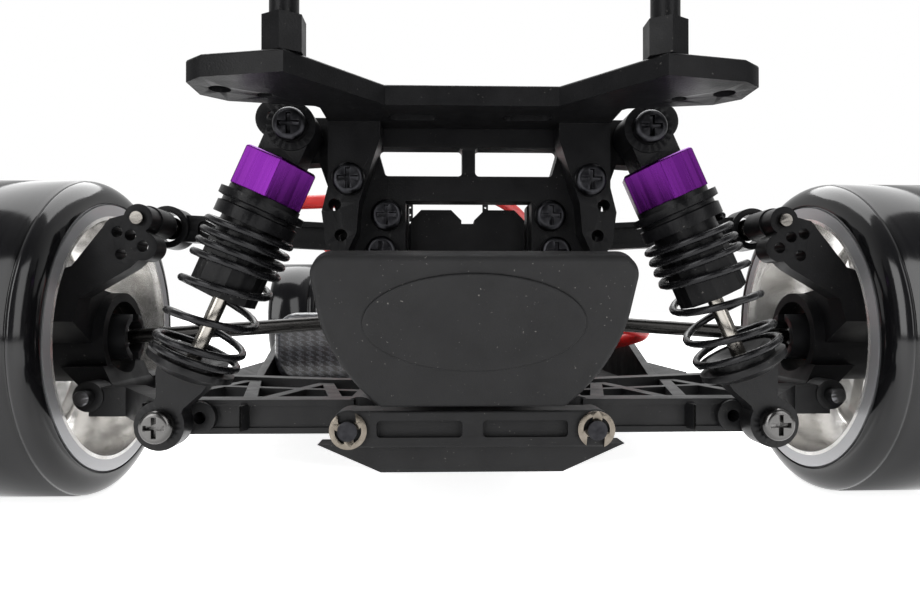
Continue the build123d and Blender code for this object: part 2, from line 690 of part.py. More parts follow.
def make_shock_body():
    """Top eye on a neck through the cap, ribbed collar, and the oil cylinder with a faceted end."""
    with BuildPart() as body:
        with BuildSketch(across(SHOCK_Y + 3.6)):
            with Locations((SHOCK_TOP[0], SHOCK_TOP[1])):
                Circle(3.8)
        extrude(amount=7.2)
        with BuildSketch(along_shock(1.0)):
            Rectangle(6.4, 6.8)
        extrude(amount=CAP[0] - 1.0)
        with BuildSketch(SHOCK):
            with BuildLine():
                Polyline(
                    (0, CAP[0] - 0.5), (2.44, CAP[0] - 0.5), (2.44, CAP[1]), (5.8, CAP[1]), (5.8, 12.5),
                    (6.9, 12.5), (6.9, 13.7), (6.0, 13.9), (6.0, 14.5), (6.5, 14.7), (6.5, COLLAR_END),
                    (BODY_R, COLLAR_END), (BODY_R, BODY_END), (0, BODY_END), close=True,
                )
            make_face()
        revolve(axis=SHOCK_AXIS)
        with BuildSketch(along_shock(20.5)):
            RegularPolygon(5.45, 8, rotation=CAP_TURN)
        extrude(amount=BODY_END - 20.5)
        # the mounting hole, the oil chamber and the rod's hole
        with BuildSketch(across(SHOCK_Y + 4.0)):
            with Locations(SHOCK_TOP):
                Circle(1.3 + FIT)
        extrude(amount=8.0, mode=Mode.SUBTRACT)
        with BuildSketch(along_shock(12.6)):
            Circle(3.95)
        extrude(amount=14.0, mode=Mode.SUBTRACT)
        with BuildSketch(along_shock(26.0)):
            Circle(1.2 + FIT)
        extrude(amount=4.0, mode=Mode.SUBTRACT)
    return body.part


def make_shock_rod():
    """Piston and rod, and the dished spring seat whose flat stem ends in the lower eye."""
    with BuildPart() as piston:
        with BuildSketch(along_shock(18.0)):
            Circle(3.8)
        extrude(amount=2.0)
        with BuildSketch(along_shock(18.0)):
            Circle(1.2)
        extrude(amount=SEAT + 1.0 - 18.0)
    eye = SHOCK_LENGTH
    with BuildPart() as seat:
        with BuildSketch(SHOCK):
            with BuildLine():
                Polyline(
                    (1.2, SEAT - 0.2), (3.4, SEAT - 0.2), (5.3, SEAT - 1.4), (5.3, SEAT + 0.2), (6.9, SEAT + 0.2),
                    (6.9, SEAT + 1.2), (4.6, SEAT + 2.4), (0, SEAT + 2.4), (0, SEAT + 1.0), (1.2, SEAT + 1.0),
                    close=True,
                )
            make_face()
        revolve(axis=SHOCK_AXIS)
        # a flat stem, narrowing towards the eye
        with BuildSketch(across(SHOCK_Y + 1.9)):
            with BuildLine():
                Polyline(*[stem_point(u, s) for u, s in (
                    (-4.4, SEAT + 1.0), (4.4, SEAT + 1.0), (3.9, SEAT + 3.6), (2.3, SEAT + 7.0), (2.5, eye),
                    (-2.5, eye), (-2.3, SEAT + 7.0), (-3.9, SEAT + 3.6))], close=True)
            make_face()
            with Locations(SHOCK_LOW):
                Circle(3.9)
        extrude(amount=4.0)
        with BuildSketch(across(SHOCK_Y + 4.0)):
            with Locations(SHOCK_LOW):
                Circle(1.3 + 0.35)
        extrude(amount=8.0, mode=Mode.SUBTRACT)
    return joined(piston.part, seat.part)


def stem_point(sideways, distance):
    """A point of the shock's own plane as car x and z."""
    x = SHOCK_TOP[0] + distance * SHOCK_DIR[0] + sideways * SHOCK_SIDE[0]
    z = SHOCK_TOP[1] + distance * SHOCK_DIR[2] + sideways * SHOCK_SIDE[2]
    return (x, z)


def make_spring():
    """The coil spring, from the collar to the seat."""
    start, stop = SPRING
    centre = Vector(*SHOCK_ORIGIN) + Vector(*SHOCK_DIR) * start
    with BuildPart() as spring:
        with BuildLine() as path:
            Helix((stop - start) / COILS, stop - start, SPRING_R, center=centre, direction=SHOCK_DIR)
        with BuildSketch(Plane(origin=path.line @ 0, z_dir=path.line % 0)):
            Circle(WIRE_R)
        sweep()
    return spring.part


# ---------------------------------------------------------------- chassis and gearboxes
FLOOR = (CHASSIS_BOTTOM, 16.3)
TUB_X = 56.5
TAIL_X = 13.7            # half width of the flat under nose and tail
TAIL_EDGE = 19.3         # where their slanted sides reach the top of the floor
TUB_Y = 98.0             # where the wide part of the floor begins to narrow
WALL_TOP = 29.0
LIP_TOP = 18.0           # top of the lip at the nose and tail, where the braces stand
WING_X = 65.0
PILLAR_Y = 64.0          # bearing pillars of the centre shaft
SHAFT_R = 2.0
MODULE = 0.6
SPUR_TEETH = 60
PINION_TEETH = 23
SPUR_Y = (-16.0, -11.5)
MOTOR_DROP = 1.2         # the motor's axis lies this far below the shaft's
MOTOR_Z = SHAFT_Z - MOTOR_DROP
MOTOR_X = (((SPUR_TEETH + PINION_TEETH) * MODULE / 2 + 0.1) ** 2 - MOTOR_DROP**2) ** 0.5
MOTOR_R = 17.8
MOTOR_FACE = -24.0
MOTOR_BACK = MOTOR_FACE - 56.4
SERVO_X = (-50.0, -10.0)
SERVO_Y = (68.5, 104.0)
SERVO_Z = (FLOOR[1], 36.3)
HORN_PIVOT = (-20.0, 26.3)
CASE_X = 11.3
CASE_Y = (AXLE_Y - 28.0, AXLE_Y + 12.2)
CASE_TOP = 48.6
HUMP_TOP = 55.6


def make_chassis():
    """A moulded tub: floor with narrow nose and tail, side walls, shaft pillars and motor plate."""
    low, floor = FLOOR
    end_y = -AXLE_Y + 44.0
    with BuildPart() as tub:
        with BuildSketch(Plane.XY.offset(low)):
            with BuildLine():
                Polyline(
                    (TAIL_X, end_y), (TAIL_X, 117.0), (TUB_X, TUB_Y), (TUB_X, -TUB_Y), (TAIL_X, -117.0),
                    (TAIL_X, -end_y), (-TAIL_X, -end_y), (-TAIL_X, -117.0), (-TUB_X, -TUB_Y), (-TUB_X, TUB_Y),
                    (-TAIL_X, 117.0), (-TAIL_X, end_y), close=True,
                )
            make_face()
        extrude(amount=floor - low)
        chamfer(tub.faces().sort_by(Axis.Z)[0].edges(), 1.2)
        # slanted sides under nose and tail
        for start_y in (end_y, -TUB_Y - 4.0):
            with BuildSketch(across(start_y)):
                with BuildLine():
                    Polyline((TAIL_EDGE, floor), (TAIL_X, low), (-TAIL_X, low), (-TAIL_EDGE, floor), close=True)
                make_face()
            extrude(amount=end_y - TUB_Y - 4.0)
        # boat-shaped lip at each end
        for lip_y in (-end_y, end_y - 4.5):
            with BuildSketch(across(lip_y + 4.5)):
                with BuildLine():
                    Polyline((23.2, LIP_TOP), (13.7, low), (-13.7, low), (-23.2, LIP_TOP), close=True)
                make_face()
            extrude(amount=4.5)
        # wings that rise outside the walls
        for inward in (1, -1):
            with BuildSketch(across(TUB_Y - 14.0)):
                with BuildLine():
                    Polyline((inward * (TUB_X - 2.0), low), (inward * WING_X, low + 5.2),
                             (inward * WING_X, low + 6.8), (inward * (TUB_X - 2.0), floor), close=True)
                make_face()
            extrude(amount=2 * TUB_Y - 28.0)
        # side walls, and the rib between battery and shaft
        for wall_x in (-TUB_X, TUB_X - 2.2):
            with BuildSketch(Plane.YZ.offset(wall_x)):
                with BuildLine():
                    Polyline((TUB_Y - 4.0, floor - 0.5), (TUB_Y - 40.0, WALL_TOP), (40.0 - TUB_Y, WALL_TOP),
                             (4.0 - TUB_Y, floor - 0.5), close=True)
                make_face()
            extrude(amount=2.2)
        with BuildSketch(Plane.XY.offset(floor)):
            with Locations((BATTERY[0][1] + 1.4, -5.0)):
                Rectangle(1.8, 136.0)
        extrude(amount=4.0)
        # pillars and motor plate
        for pillar_y in (-PILLAR_Y, PILLAR_Y):
            with BuildSketch(across(pillar_y + 2.0)):
                with BuildLine():
                    Polyline((-5.0, floor), (5.0, floor), (4.4, SHAFT_Z + 3.0), (-4.4, SHAFT_Z + 3.0), close=True)
                make_face()
            extrude(amount=4.0)
        with BuildSketch(across(MOTOR_FACE + 3.2)):
            with BuildLine():
                Polyline(
                    (5.0, floor), (42.6, floor), (42.6, MOTOR_Z + 8.0), (36.0, MOTOR_Z + 17.0),
                    (15.0, MOTOR_Z + 17.0), (5.0, MOTOR_Z + 8.0), close=True,
                )
            make_face()
            with Locations((MOTOR_X, MOTOR_Z)):
                Circle(9.5, mode=Mode.SUBTRACT)
        extrude(amount=3.0)
        with BuildSketch(across(100.0)):
            with Locations((0, SHAFT_Z)):
                Circle(SHAFT_R + FIT)
        extrude(amount=200.0, mode=Mode.SUBTRACT)
    return tub.part


def make_gearbox_case():
    """The rear gearbox case: cavity round the ring gear, two humps on top, lugs for pins and links."""
    back, front = CASE_Y
    floor = FLOOR[1]
    with BuildPart() as case:
        with BuildSketch(across(front)):
            with BuildLine():
                Polyline((-CASE_X - 1.2, floor), (CASE_X + 1.2, floor), (CASE_X + 1.2, 26.0), (CASE_X, 28.0),
                         (CASE_X, CASE_TOP), (-CASE_X, CASE_TOP), (-CASE_X, 28.0), (-CASE_X - 1.2, 26.0),
                         close=True)
            make_face()
        extrude(amount=front - back)
        # two humps with a groove between them
        with BuildSketch(across(AXLE_Y + 4.0)):
            for hump_x in (-5.5, 5.5):
                with BuildLine():
                    Polyline((hump_x - 4.4, CASE_TOP - 1), (hump_x - 4.4, HUMP_TOP - 1.8),
                             (hump_x - 2.6, HUMP_TOP), (hump_x + 2.6, HUMP_TOP),
                             (hump_x + 4.4, HUMP_TOP - 1.8), (hump_x + 4.4, CASE_TOP - 1), close=True)
                make_face()
            with Locations((0, (CASE_TOP + HUMP_TOP) / 2 - 1.2)):
                Rectangle(4.0, HUMP_TOP - CASE_TOP - 2.4)
        extrude(amount=AXLE_Y + 4.0 - back)
        # flange behind the shock tower
        with BuildSketch(across(back + 3.4)):
            with Locations((14.4, 50.6), (-14.4, 50.6)):
                Rectangle(8.2, 12.4)
        extrude(amount=3.4)
        # lugs: front end of the hinge pins, and the link pivots
        with BuildSketch(across(AXLE_Y + 8.4)):
            with Locations(ARM_PIN, (-ARM_PIN[0], ARM_PIN[1])):
                Circle(3.0)
            with Locations((0, ARM_PIN[1] - 0.4)):
                Rectangle(2 * ARM_PIN[0], 4.8)
        extrude(amount=5.0)
        with BuildSketch(across(AXLE_Y - 3.4)):
            with Locations(LINK_PIN, (-LINK_PIN[0], LINK_PIN[1])):
                Circle(3.4)
            with Locations((0, LINK_PIN[1] - 0.6)):
                Rectangle(2 * LINK_PIN[0], 5.2)
        extrude(amount=5.0)
        fillet(case.edges().filter_by(Axis.Y).group_by(Axis.Z)[-1], 0.8)
        # cavity, drive cups, centre shaft
        with BuildSketch(DIFF.offset(-9.4)):
            Circle(11.0)
        extrude(amount=18.8, mode=Mode.SUBTRACT)
        with BuildSketch(DIFF.offset(-20.0)):
            Circle(CUP_R + 0.3)
        extrude(amount=40.0, mode=Mode.SUBTRACT)
        with BuildSketch(across(front + 1.0)):
            with Locations((0, SHAFT_Z)):
                Circle(SHAFT_R + FIT)
        extrude(amount=8.0, mode=Mode.SUBTRACT)
        # corners notched for the rings of the tie rods at full lock
        with BuildSketch(across(front + 1.0)):
            with Locations((10.5, TIE_ROD_Z), (-10.5, TIE_ROD_Z)):
                Rectangle(6.0, 4.4)
        extrude(amount=3.4, mode=Mode.SUBTRACT)
        # pin and screw holes
        with BuildSketch(across(AXLE_Y + 9.0)):
            with Locations(ARM_PIN, (-ARM_PIN[0], ARM_PIN[1])):
                Circle(PIN_R)
        extrude(amount=6.0, mode=Mode.SUBTRACT)
        with BuildSketch(across(AXLE_Y)):
            with Locations(LINK_PIN, (-LINK_PIN[0], LINK_PIN[1])):
                Circle(1.3)
        extrude(amount=10.0, mode=Mode.SUBTRACT)
        with BuildSketch(across(back - 1.0)):
            with Locations(*TOWER_SCREWS):
                Circle(1.3)
        extrude(amount=-6.0, mode=Mode.SUBTRACT)
    return case.part


# ---------------------------------------------------------------- tower, body mount, guard, brace
TOWER_SCREWS = ((13.7, 54.0), (-13.7, 54.0), (14.6, 47.9), (-14.6, 47.9))
LEG_SCREWS = ((19.4, 59.1), (-19.4, 59.1))
SPARE_MOUNT = (32.4, 70.3)
PLATE_Z = (68.5, 71.6)
POST = (25.3, AXLE_Y - 56.8)
POST_TOP = 112.0
LEG_BACK = AXLE_Y - 37.0


def make_tower():
    """The shock tower: a plate with two windows, legs to the gearbox and an ear for each shock."""
    with BuildPart() as tower:
        with BuildSketch(across(TOWER_BACK + 4.0)):
            with BuildLine():
                Polyline(
                    (0, 70.4), (24.0, 70.4), (26.0, 70.4), (27.8, 70.6), (27.8, 62.6), (25.0, 62.8), (22.6, 56.0),
                    (20.4, 44.8), (10.6, 44.8), (10.6, 56.5), (0, 56.5), close=True,
                )
            make_face()
            with BuildLine():
                Polyline((25.8, 70.0), (30.4, 73.0), (34.6, 67.9), (29.6, 63.2), close=True)
            make_face()
            with Locations(SHOCK_TOP):
                Circle(4.0)
            with Locations(SPARE_MOUNT):
                Circle(3.3)
            mirror(about=Plane.YZ)
        extrude(amount=4.0)
        with BuildSketch(across(TOWER_BACK + 5.0)) as holes:
            for inward in (1, -1):
                with BuildLine():
                    Polyline((inward * 1.1, 60.7), (inward * 14.0, 60.7), (inward * 15.4, 65.6),
                             (inward * 1.1, 65.6), close=True)
                make_face()
            fillet(holes.vertices(), 0.7)
            with Locations(*TOWER_SCREWS, *LEG_SCREWS):
                Circle(1.3)
            with Locations(SHOCK_TOP, (-SHOCK_TOP[0], SHOCK_TOP[1])):
                Circle(1.3)
            with Locations(SPARE_MOUNT, (-SPARE_MOUNT[0], SPARE_MOUNT[1])):
                Circle(1.4)
        extrude(amount=6.0, mode=Mode.SUBTRACT)
        with BuildSketch(across(TOWER_BACK)):
            with Locations(SHOCK_TOP, (-SHOCK_TOP[0], SHOCK_TOP[1])):
                Circle(3.0)
                Circle(1.3, mode=Mode.SUBTRACT)
        extrude(amount=1.4)
    return tower.part


def make_body_mount():
    """A winged plate on two legs that screw to the tower."""
    low, high = PLATE_Z
    with BuildPart() as mount:
        with BuildSketch(Plane.XY.offset(low)):
            with BuildLine():
                Polyline(
                    (0, AXLE_Y - 46.0), (12.9, AXLE_Y - 46.0), (24.7, AXLE_Y - 60.0), (36.0, AXLE_Y - 57.6),
                    (38.6, AXLE_Y - 55.4), (38.6, AXLE_Y - 50.0), (35.5, AXLE_Y - 47.2), (23.4, AXLE_Y - 45.0),
                    (22.8, AXLE_Y - 44.2), (22.8, AXLE_Y - 33.0), (0, AXLE_Y - 33.0), close=True,
                )
            make_face()
            mirror(about=Plane.YZ)
            with Locations((9.0, AXLE_Y - 39.5), (-9.0, AXLE_Y - 39.5)):
                SlotOverall(8.0, 3.4, mode=Mode.SUBTRACT)
            with Locations((35.0, AXLE_Y - 52.6), (-35.0, AXLE_Y - 52.6)):
                Circle(1.5, mode=Mode.SUBTRACT)
            with Locations((29.5, AXLE_Y - 50.0), (-29.5, AXLE_Y - 50.0)):
                Circle(1.1, mode=Mode.SUBTRACT)
        extrude(amount=high - low)
        fillet(mount.faces().sort_by(Axis.Z)[-1].outer_wire().edges(), 0.5)
        with BuildSketch(across(AXLE_Y - 32.0)):
            with BuildLine():
                Polyline(
                    (14.4, low + 0.5), (22.8, low + 0.5), (22.8, 58.0), (23.8, 54.0), (23.1, 48.8), (21.6, 46.8),
                    (19.8, 47.2), (18.2, 50.7), (17.8, 55.5), (14.4, 66.0), close=True,
                )
            make_face()
            mirror(about=Plane.YZ)
        extrude(amount=5.0)
        with BuildSketch(across(AXLE_Y - 30.0)):
            with Locations(*LEG_SCREWS):
                Circle(1.3)
            with Locations((21.7, 55.1), (-21.7, 55.1), (20.7, 50.2), (-20.7, 50.2)):
                Circle(1.0)
        extrude(amount=9.0, mode=Mode.SUBTRACT)
    return mount.part


def make_post():
    """A body post: hexagonal foot, round stem, and cross holes for a body clip."""
    x, y = POST
    with BuildPart() as post:
        with BuildSketch(Plane.XY.offset(PLATE_Z[1])):
            with Locations((x, y)):
                RegularPolygon(3.0, 6, rotation=30)
        extrude(amount=4.9)
        with BuildSketch(Plane.XY.offset(PLATE_Z[1] + 4.9)):
            with Locations((x, y)):
                Circle(1.95)
        extrude(amount=POST_TOP - PLATE_Z[1] - 4.9)
        chamfer(post.faces().sort_by(Axis.Z)[-1].edges(), 0.5)
        with BuildSketch(across(y + 5.0)):
            for hole in range(4):
                with Locations((x, POST_TOP - 5.0 - 5.0 * hole)):
                    Circle(0.75)
        extrude(amount=10.0, mode=Mode.SUBTRACT)
    return post.part


GUARD_FOOT = (AXLE_Y - 48.0, 23.9)
GUARD_TOP = (AXLE_Y - 56.0, 45.4)
GUARD_H = hypot(GUARD_TOP[0] - GUARD_FOOT[0], GUARD_TOP[1] - GUARD_FOOT[1])
GUARD_UP = Vector(0, (GUARD_TOP[0] - GUARD_FOOT[0]) / GUARD_H, (GUARD_TOP[1] - GUARD_FOOT[1]) / GUARD_H)
GUARD = Plane(origin=(0, *GUARD_FOOT), x_dir=(1, 0, 0), z_dir=Vector(1, 0, 0).cross(GUARD_UP))


def make_guard():
    """The rear guard: a leaning plate with an oval pad, on two ribs from the gearbox."""
    with BuildPart() as guard:
        with BuildSketch(GUARD) as outline:
            with BuildLine():
                Line((0, 0), (13.5, 0))
                ThreePointArc((13.5, 0), (18.6, 6.2), (21.6, 13.6))
                Line((21.6, 13.6), (22.4, 19.6))
                ThreePointArc((22.4, 19.6), (21.7, 21.9), (19.4, GUARD_H))
                Line((19.4, GUARD_H), (0, GUARD_H))
                mirror(about=Plane.YZ)
            make_face()
            fillet(outline.vertices(), 0.5)
        extrude(amount=-2.6)
        fillet(guard.faces().sort_by(Axis(GUARD.origin, GUARD.z_dir))[-1].edges(), 0.9)
        with BuildSketch(GUARD):
            with Locations((0, 13.3)):
                Ellipse(15.6, 7.3)
        extrude(amount=0.35)
        fillet(guard.faces().sort_by(Axis(GUARD.origin, GUARD.z_dir))[-1].edges(), 0.3)
        for rib_x in (-7.0, 7.0):
            with BuildSketch(Plane.YZ.offset(rib_x - 1.2)):
                with BuildLine():
                    Polyline((GUARD_FOOT[0] + 1.6, 26.5), (CASE_Y[0], 26.5), (CASE_Y[0], 36.0),
                             (GUARD_FOOT[0] - 2.2, 36.0), close=True)
                make_face()
            extrude(amount=2.4)
    return guard.part


def make_brace():
    """The brace across the hinge pins, with two shallow recesses."""
    with BuildPart() as brace:
        with BuildSketch(across(BRACE_FRONT)):
            with Locations((0, 20.7)):
                Rectangle(2 * ARM_PIN[0], 5.4)
            with Locations(ARM_PIN, (-ARM_PIN[0], ARM_PIN[1])):
                Circle(2.9)
            with Locations((0, LIP_TOP - 2.0)):
                Rectangle(60.0, 4.0, mode=Mode.SUBTRACT)
        extrude(amount=BRACE_FRONT - BRACE_BACK)
        fillet(brace.faces().sort_by(Axis.Y)[0].edges(), 0.4)
        with BuildSketch(across(BRACE_BACK)):
            with Locations((7.8, 20.7), (-7.8, 20.7)):
                RectangleRounded(12.6, 2.5, 0.6)
        extrude(amount=-1.2, mode=Mode.SUBTRACT)
        with BuildSketch(across(BRACE_FRONT + 1)):
            with Locations(ARM_PIN, (-ARM_PIN[0], ARM_PIN[1])):
                Circle(PIN_R)
        extrude(amount=8.0, mode=Mode.SUBTRACT)
    return brace.part


def make_bumper():
    """A foam bumper with rounded edges, with a web back to its brace."""
    nose = -POST[1] + 2.8
    with BuildPart() as bumper:
        with BuildSketch(Plane.XY.offset(CHASSIS_BOTTOM + 1.6)):
            with BuildLine():
                Polyline((-48.0, nose - 12.0), (-40.0, nose - 3.0), (-16.0, nose), (16.0, nose), (40.0, nose - 3.0),
                         (48.0, nose - 12.0), (34.0, nose - 12.2), (24.5, nose - 11.2), (-24.5, nose - 11.2),
                         (-34.0, nose - 12.2), close=True)
            make_face()
        extrude(amount=22.0)
        fillet(bumper.edges().filter_by(Axis.Z), 1.2)
        fillet(bumper.faces().sort_by(Axis.Z)[-1].edges(), 1.0)
        with BuildSketch(across(nose - 11.0)):
            with Locations((0, 20.7)):
                Rectangle(28.0, 4.4)
        extrude(amount=nose - 11.0 + BRACE_BACK)
    return bumper.part


# ---------------------------------------------------------------- fasteners
def make_e_clip(x, y, turn):
    """A retaining clip: a ring with three prongs onto the pin and one opening."""
    seat = Plane(origin=(x, y, ARM_PIN[1]), x_dir=(1, 0, 0), z_dir=(0, -1, 0))
    with BuildPart() as clip:
        with BuildSketch(seat):
            Circle(2.75)
            Circle(1.95, mode=Mode.SUBTRACT)
            with PolarLocations(1.75, 3, start_angle=turn):
                Rectangle(0.9, 1.4)
            Circle(PIN_R, mode=Mode.SUBTRACT)
            with Locations(Location((0, 0, 0), (0, 0, turn + 60))):
                with Locations((2.4, 0)):
                    Rectangle(2.6, 2.6, mode=Mode.SUBTRACT)
        extrude(amount=0.6)
    return clip.part


def rear_fasteners():
    """Every fixed screw, hinge pin and clip at the rear."""
    pieces = []
    for sign in (1, -1):
        pin_x = sign * ARM_PIN[0]
        pieces.append(rod((pin_x, BRACE_BACK - 1.4, ARM_PIN[1]), (pin_x, AXLE_Y + 8.4, ARM_PIN[1]), PIN_R))
        pieces.append(make_e_clip(pin_x, BRACE_BACK - 0.1, 35 if sign < 0 else 205))
        eye = Plane(origin=(sign * SHOCK_TOP[0], SHOCK_Y - 3.7, SHOCK_TOP[1]), x_dir=(1, 0, 0), z_dir=(0, -1, 0))
        pieces.append(screw(eye, 10.5))
        link = Plane(origin=(sign * LINK_PIN[0], AXLE_Y - 8.4, LINK_PIN[1]), x_dir=(1, 0, 0), z_dir=(0, -1, 0))
        pieces.append(screw(link, 12.0))
    for x, z in TOWER_SCREWS:
        pieces.append(screw(Plane(origin=(x, TOWER_BACK, z), x_dir=(1, 0, 0), z_dir=(0, -1, 0)), 7.5))
    for x, z in LEG_SCREWS:
        pieces.append(screw(Plane(origin=(x, LEG_BACK, z), x_dir=(1, 0, 0), z_dir=(0, -1, 0)), 8.5))
    return joined(*pieces)


# ---------------------------------------------------------------- drive train
def spur_gear(teeth, centre, width, turn):
    """A straight gear on the plane across the car; turn places its first tooth, in degrees."""
    pitch_r = teeth * MODULE / 2
    half = 0.36 * MODULE * pi / 2
    start, depth = width
    with BuildPart() as gear:
        with BuildSketch(across(start)):
            with Locations(centre):
                Circle(pitch_r - 0.62)
                with PolarLocations(0, teeth, start_angle=turn):
                    Polygon((pitch_r - 0.9, -1.3 * half), (pitch_r + 0.45, -0.6 * half),
                            (pitch_r + 0.45, 0.6 * half), (pitch_r - 0.9, 1.3 * half), align=None)
        extrude(amount=depth)
    return gear.part


def make_centre_shaft():
    """The shaft between the gearboxes, with its spur gear and a bevel cone at each end."""
    back, front = SPUR_Y
    reach = -AXLE_Y - 6.0
    with BuildPart() as shaft:
        with BuildSketch(across(reach)):
            with Locations((0, SHAFT_Z)):
                Circle(SHAFT_R)
        extrude(amount=2 * reach)
        for sign in (-1, 1):
            with BuildSketch(Plane.YZ):
                with BuildLine():
                    Polyline((sign * reach, SHAFT_Z), (sign * reach, SHAFT_Z + 2.1),
                             (sign * (reach - 4.0), SHAFT_Z + 4.1), (sign * (reach - 4.0), SHAFT_Z), close=True)
                make_face()
            revolve(axis=Axis((0, 0, SHAFT_Z), (0, 1, 0)))
        with BuildSketch(across(front + 3.0)):
            with Locations((0, SHAFT_Z)):
                Circle(4.4)
        extrude(amount=front - back + 3.0)
    with BuildPart() as gear:
        add(spur_gear(SPUR_TEETH, (0, SHAFT_Z), (front, front - back), SPUR_TURN))
        with BuildSketch(across(front + 1)):
            with Locations((0, SHAFT_Z)):
                with PolarLocations(10.4, 6):
                    Circle(3.0)
                Circle(4.4)
        extrude(amount=front - back + 2, mode=Mode.SUBTRACT)
    return joined(shaft.part, gear.part)


MESH = degrees(atan2(-MOTOR_DROP, MOTOR_X))    # direction from the spur's centre to the pinion's
SPUR_TURN = MESH
PINION_TURN = MESH + 180.0 + 180.0 / PINION_TEETH


def make_pinion():
    """The motor's shaft with its pinion."""
    back, front = SPUR_Y
    with BuildPart() as pinion:
        add(spur_gear(PINION_TEETH, (MOTOR_X, MOTOR_Z), (front + 0.6, front - back + 1.2), PINION_TURN))
        with BuildSketch(across(front + 3.2)):
            with Locations((MOTOR_X, MOTOR_Z)):
                Circle(3.8)
        extrude(amount=3.2)
        with BuildSketch(across(front + 2.0)):
            with Locations((MOTOR_X, MOTOR_Z)):
                Circle(1.6)
        extrude(amount=front + 2.0 - MOTOR_FACE + 12.0)
    return pinion.part


def make_motor():
    """A 540-size can with its boss, vents and endbell."""
    axis = Axis((MOTOR_X, 0, MOTOR_Z), (0, 1, 0))
    back = MOTOR_FACE - 49.0
    with BuildPart() as can:
        with BuildSketch(Plane(origin=(MOTOR_X, 0, MOTOR_Z), x_dir=(0, 1, 0), z_dir=(1, 0, 0))):
            with BuildLine():
                Polyline((MOTOR_FACE, 1.6 + FIT), (MOTOR_FACE + 2.6, 1.6 + FIT), (MOTOR_FACE + 2.6, 6.4),
                         (MOTOR_FACE, 6.4), (MOTOR_FACE, MOTOR_R - 1.2), (MOTOR_FACE - 1.2, MOTOR_R),
                         (back, MOTOR_R), (back, 1.6 + FIT), close=True)
            make_face()
        revolve(axis=axis)
    with BuildPart() as bell:
        with BuildSketch(across(back)):
            with Locations((MOTOR_X, MOTOR_Z)):
                Circle(MOTOR_R - 0.6)
        extrude(amount=5.0)
        chamfer(bell.faces().sort_by(Axis.Y)[0].edges(), 1.0)
        with BuildSketch(across(back - 5.0)):
            with Locations((MOTOR_X, MOTOR_Z)):
                Circle(5.2)
            for brush_x in (MOTOR_X - 10.5, MOTOR_X + 10.5):
                with Locations((brush_x, MOTOR_Z)):
                    RectangleRounded(7.0, 6.0, 0.8)
        extrude(amount=2.4)
    return joined(can.part, bell.part)


# ---------------------------------------------------------------- steering gear
RACK_Z = (TAB_Z, TAB_Z + 1.6)
SLOT_Y = (RACK_Y - 6.7, RACK_Y - 4.2)


def make_rack():
    """The sliding rack: a bar with a ball at each end and a slotted post for the servo horn."""
    pin_z = HORN_PIVOT[1] + HORN_R
    with BuildPart() as rack:
        with BuildSketch(Plane.XY.offset(RACK_Z[0])):
            with Locations((0, RACK_Y)):
                SlotOverall(2 * RACK_X + 4.4, 4.4)
            with Locations((HORN_PIVOT[0], RACK_Y - 3.6)):
                Rectangle(4.4, 6.2)
        extrude(amount=RACK_Z[1] - RACK_Z[0])
        with BuildSketch(across(SLOT_Y[1])):
            with BuildLine():
                Polyline((HORN_PIVOT[0] - 2.2, RACK_Z[0]), (HORN_PIVOT[0] + 2.2, RACK_Z[0]),
                         (HORN_PIVOT[0] + 2.6, pin_z + 2.6), (HORN_PIVOT[0] - 2.6, pin_z + 2.6), close=True)
            make_face()
            with Locations((HORN_PIVOT[0], pin_z - 0.7)):
                SlotOverall(4.6, 2.6, rotation=90, mode=Mode.SUBTRACT)
        extrude(amount=SLOT_Y[1] - SLOT_Y[0])
    return joined(rack.part, tie_ball(RACK_X, RACK_Y), tie_ball(-RACK_X, RACK_Y))


def make_servo():
    """The servo on its side: case, ears and output boss."""
    (x0, x1), (y0, y1), (z0, z1) = SERVO_X, SERVO_Y, SERVO_Z
    middle = ((x0 + x1) / 2, (z0 + z1) / 2)
    with BuildPart() as servo:
        with BuildSketch(across(y1)):
            with Locations(middle):
                Rectangle(x1 - x0, z1 - z0)
        extrude(amount=y1 - y0)
        fillet(servo.edges().filter_by(Axis.Y), 0.8)
        with BuildSketch(across(y1 - 8.0)):
            with Locations(middle):
                Rectangle(x1 - x0 + 13.0, z1 - z0 - 2.0)
                with GridLocations(x1 - x0 + 8.6, 10.0, 2, 2):
                    Circle(1.6, mode=Mode.SUBTRACT)
        extrude(amount=2.4)
        with BuildSketch(across(y1 + 0.6)):
            with Locations(HORN_PIVOT):
                Circle(5.6)
        extrude(amount=0.6)
        with BuildSketch(across(y1 + 1.0)):
            with Locations(HORN_PIVOT):
                Circle(2.5 + FIT)
        extrude(amount=4.0, mode=Mode.SUBTRACT)
    return servo.part


def make_horn():
    """The servo horn, its splined shaft, and the pin that works in the rack's slot."""
    front = SERVO_Y[1] + 3.4
    x, z = HORN_PIVOT
    with BuildPart() as horn:
        with BuildSketch(across(front)):
            with Locations(HORN_PIVOT):
                Circle(4.2)
            with BuildLine():
                Polyline((x - 3.4, z), (x + 3.4, z), (x + 2.4, z + HORN_R), (x - 2.4, z + HORN_R), close=True)
            make_face()
            with Locations((x, z + HORN_R)):
                Circle(2.4)
        extrude(amount=2.4)
        with BuildSketch(across(front)):
            with Locations(HORN_PIVOT):
                Circle(2.5)
        extrude(amount=6.2)
        with BuildSketch(across(SLOT_Y[1] - 0.2)):
            with Locations((x, z + HORN_R)):
                Circle(1.1)
        extrude(amount=SLOT_Y[1] - 0.2 - front + 0.4)
    return horn.part


# ---------------------------------------------------------------- electrics
BATTERY = ((-54.2, -19.6), (-72.0, 62.0), (FLOOR[1], 37.4))
ESC = ((12.0, 44.0), (16.0, 54.0), (FLOOR[1], 31.0))
LEAD_R = 1.75


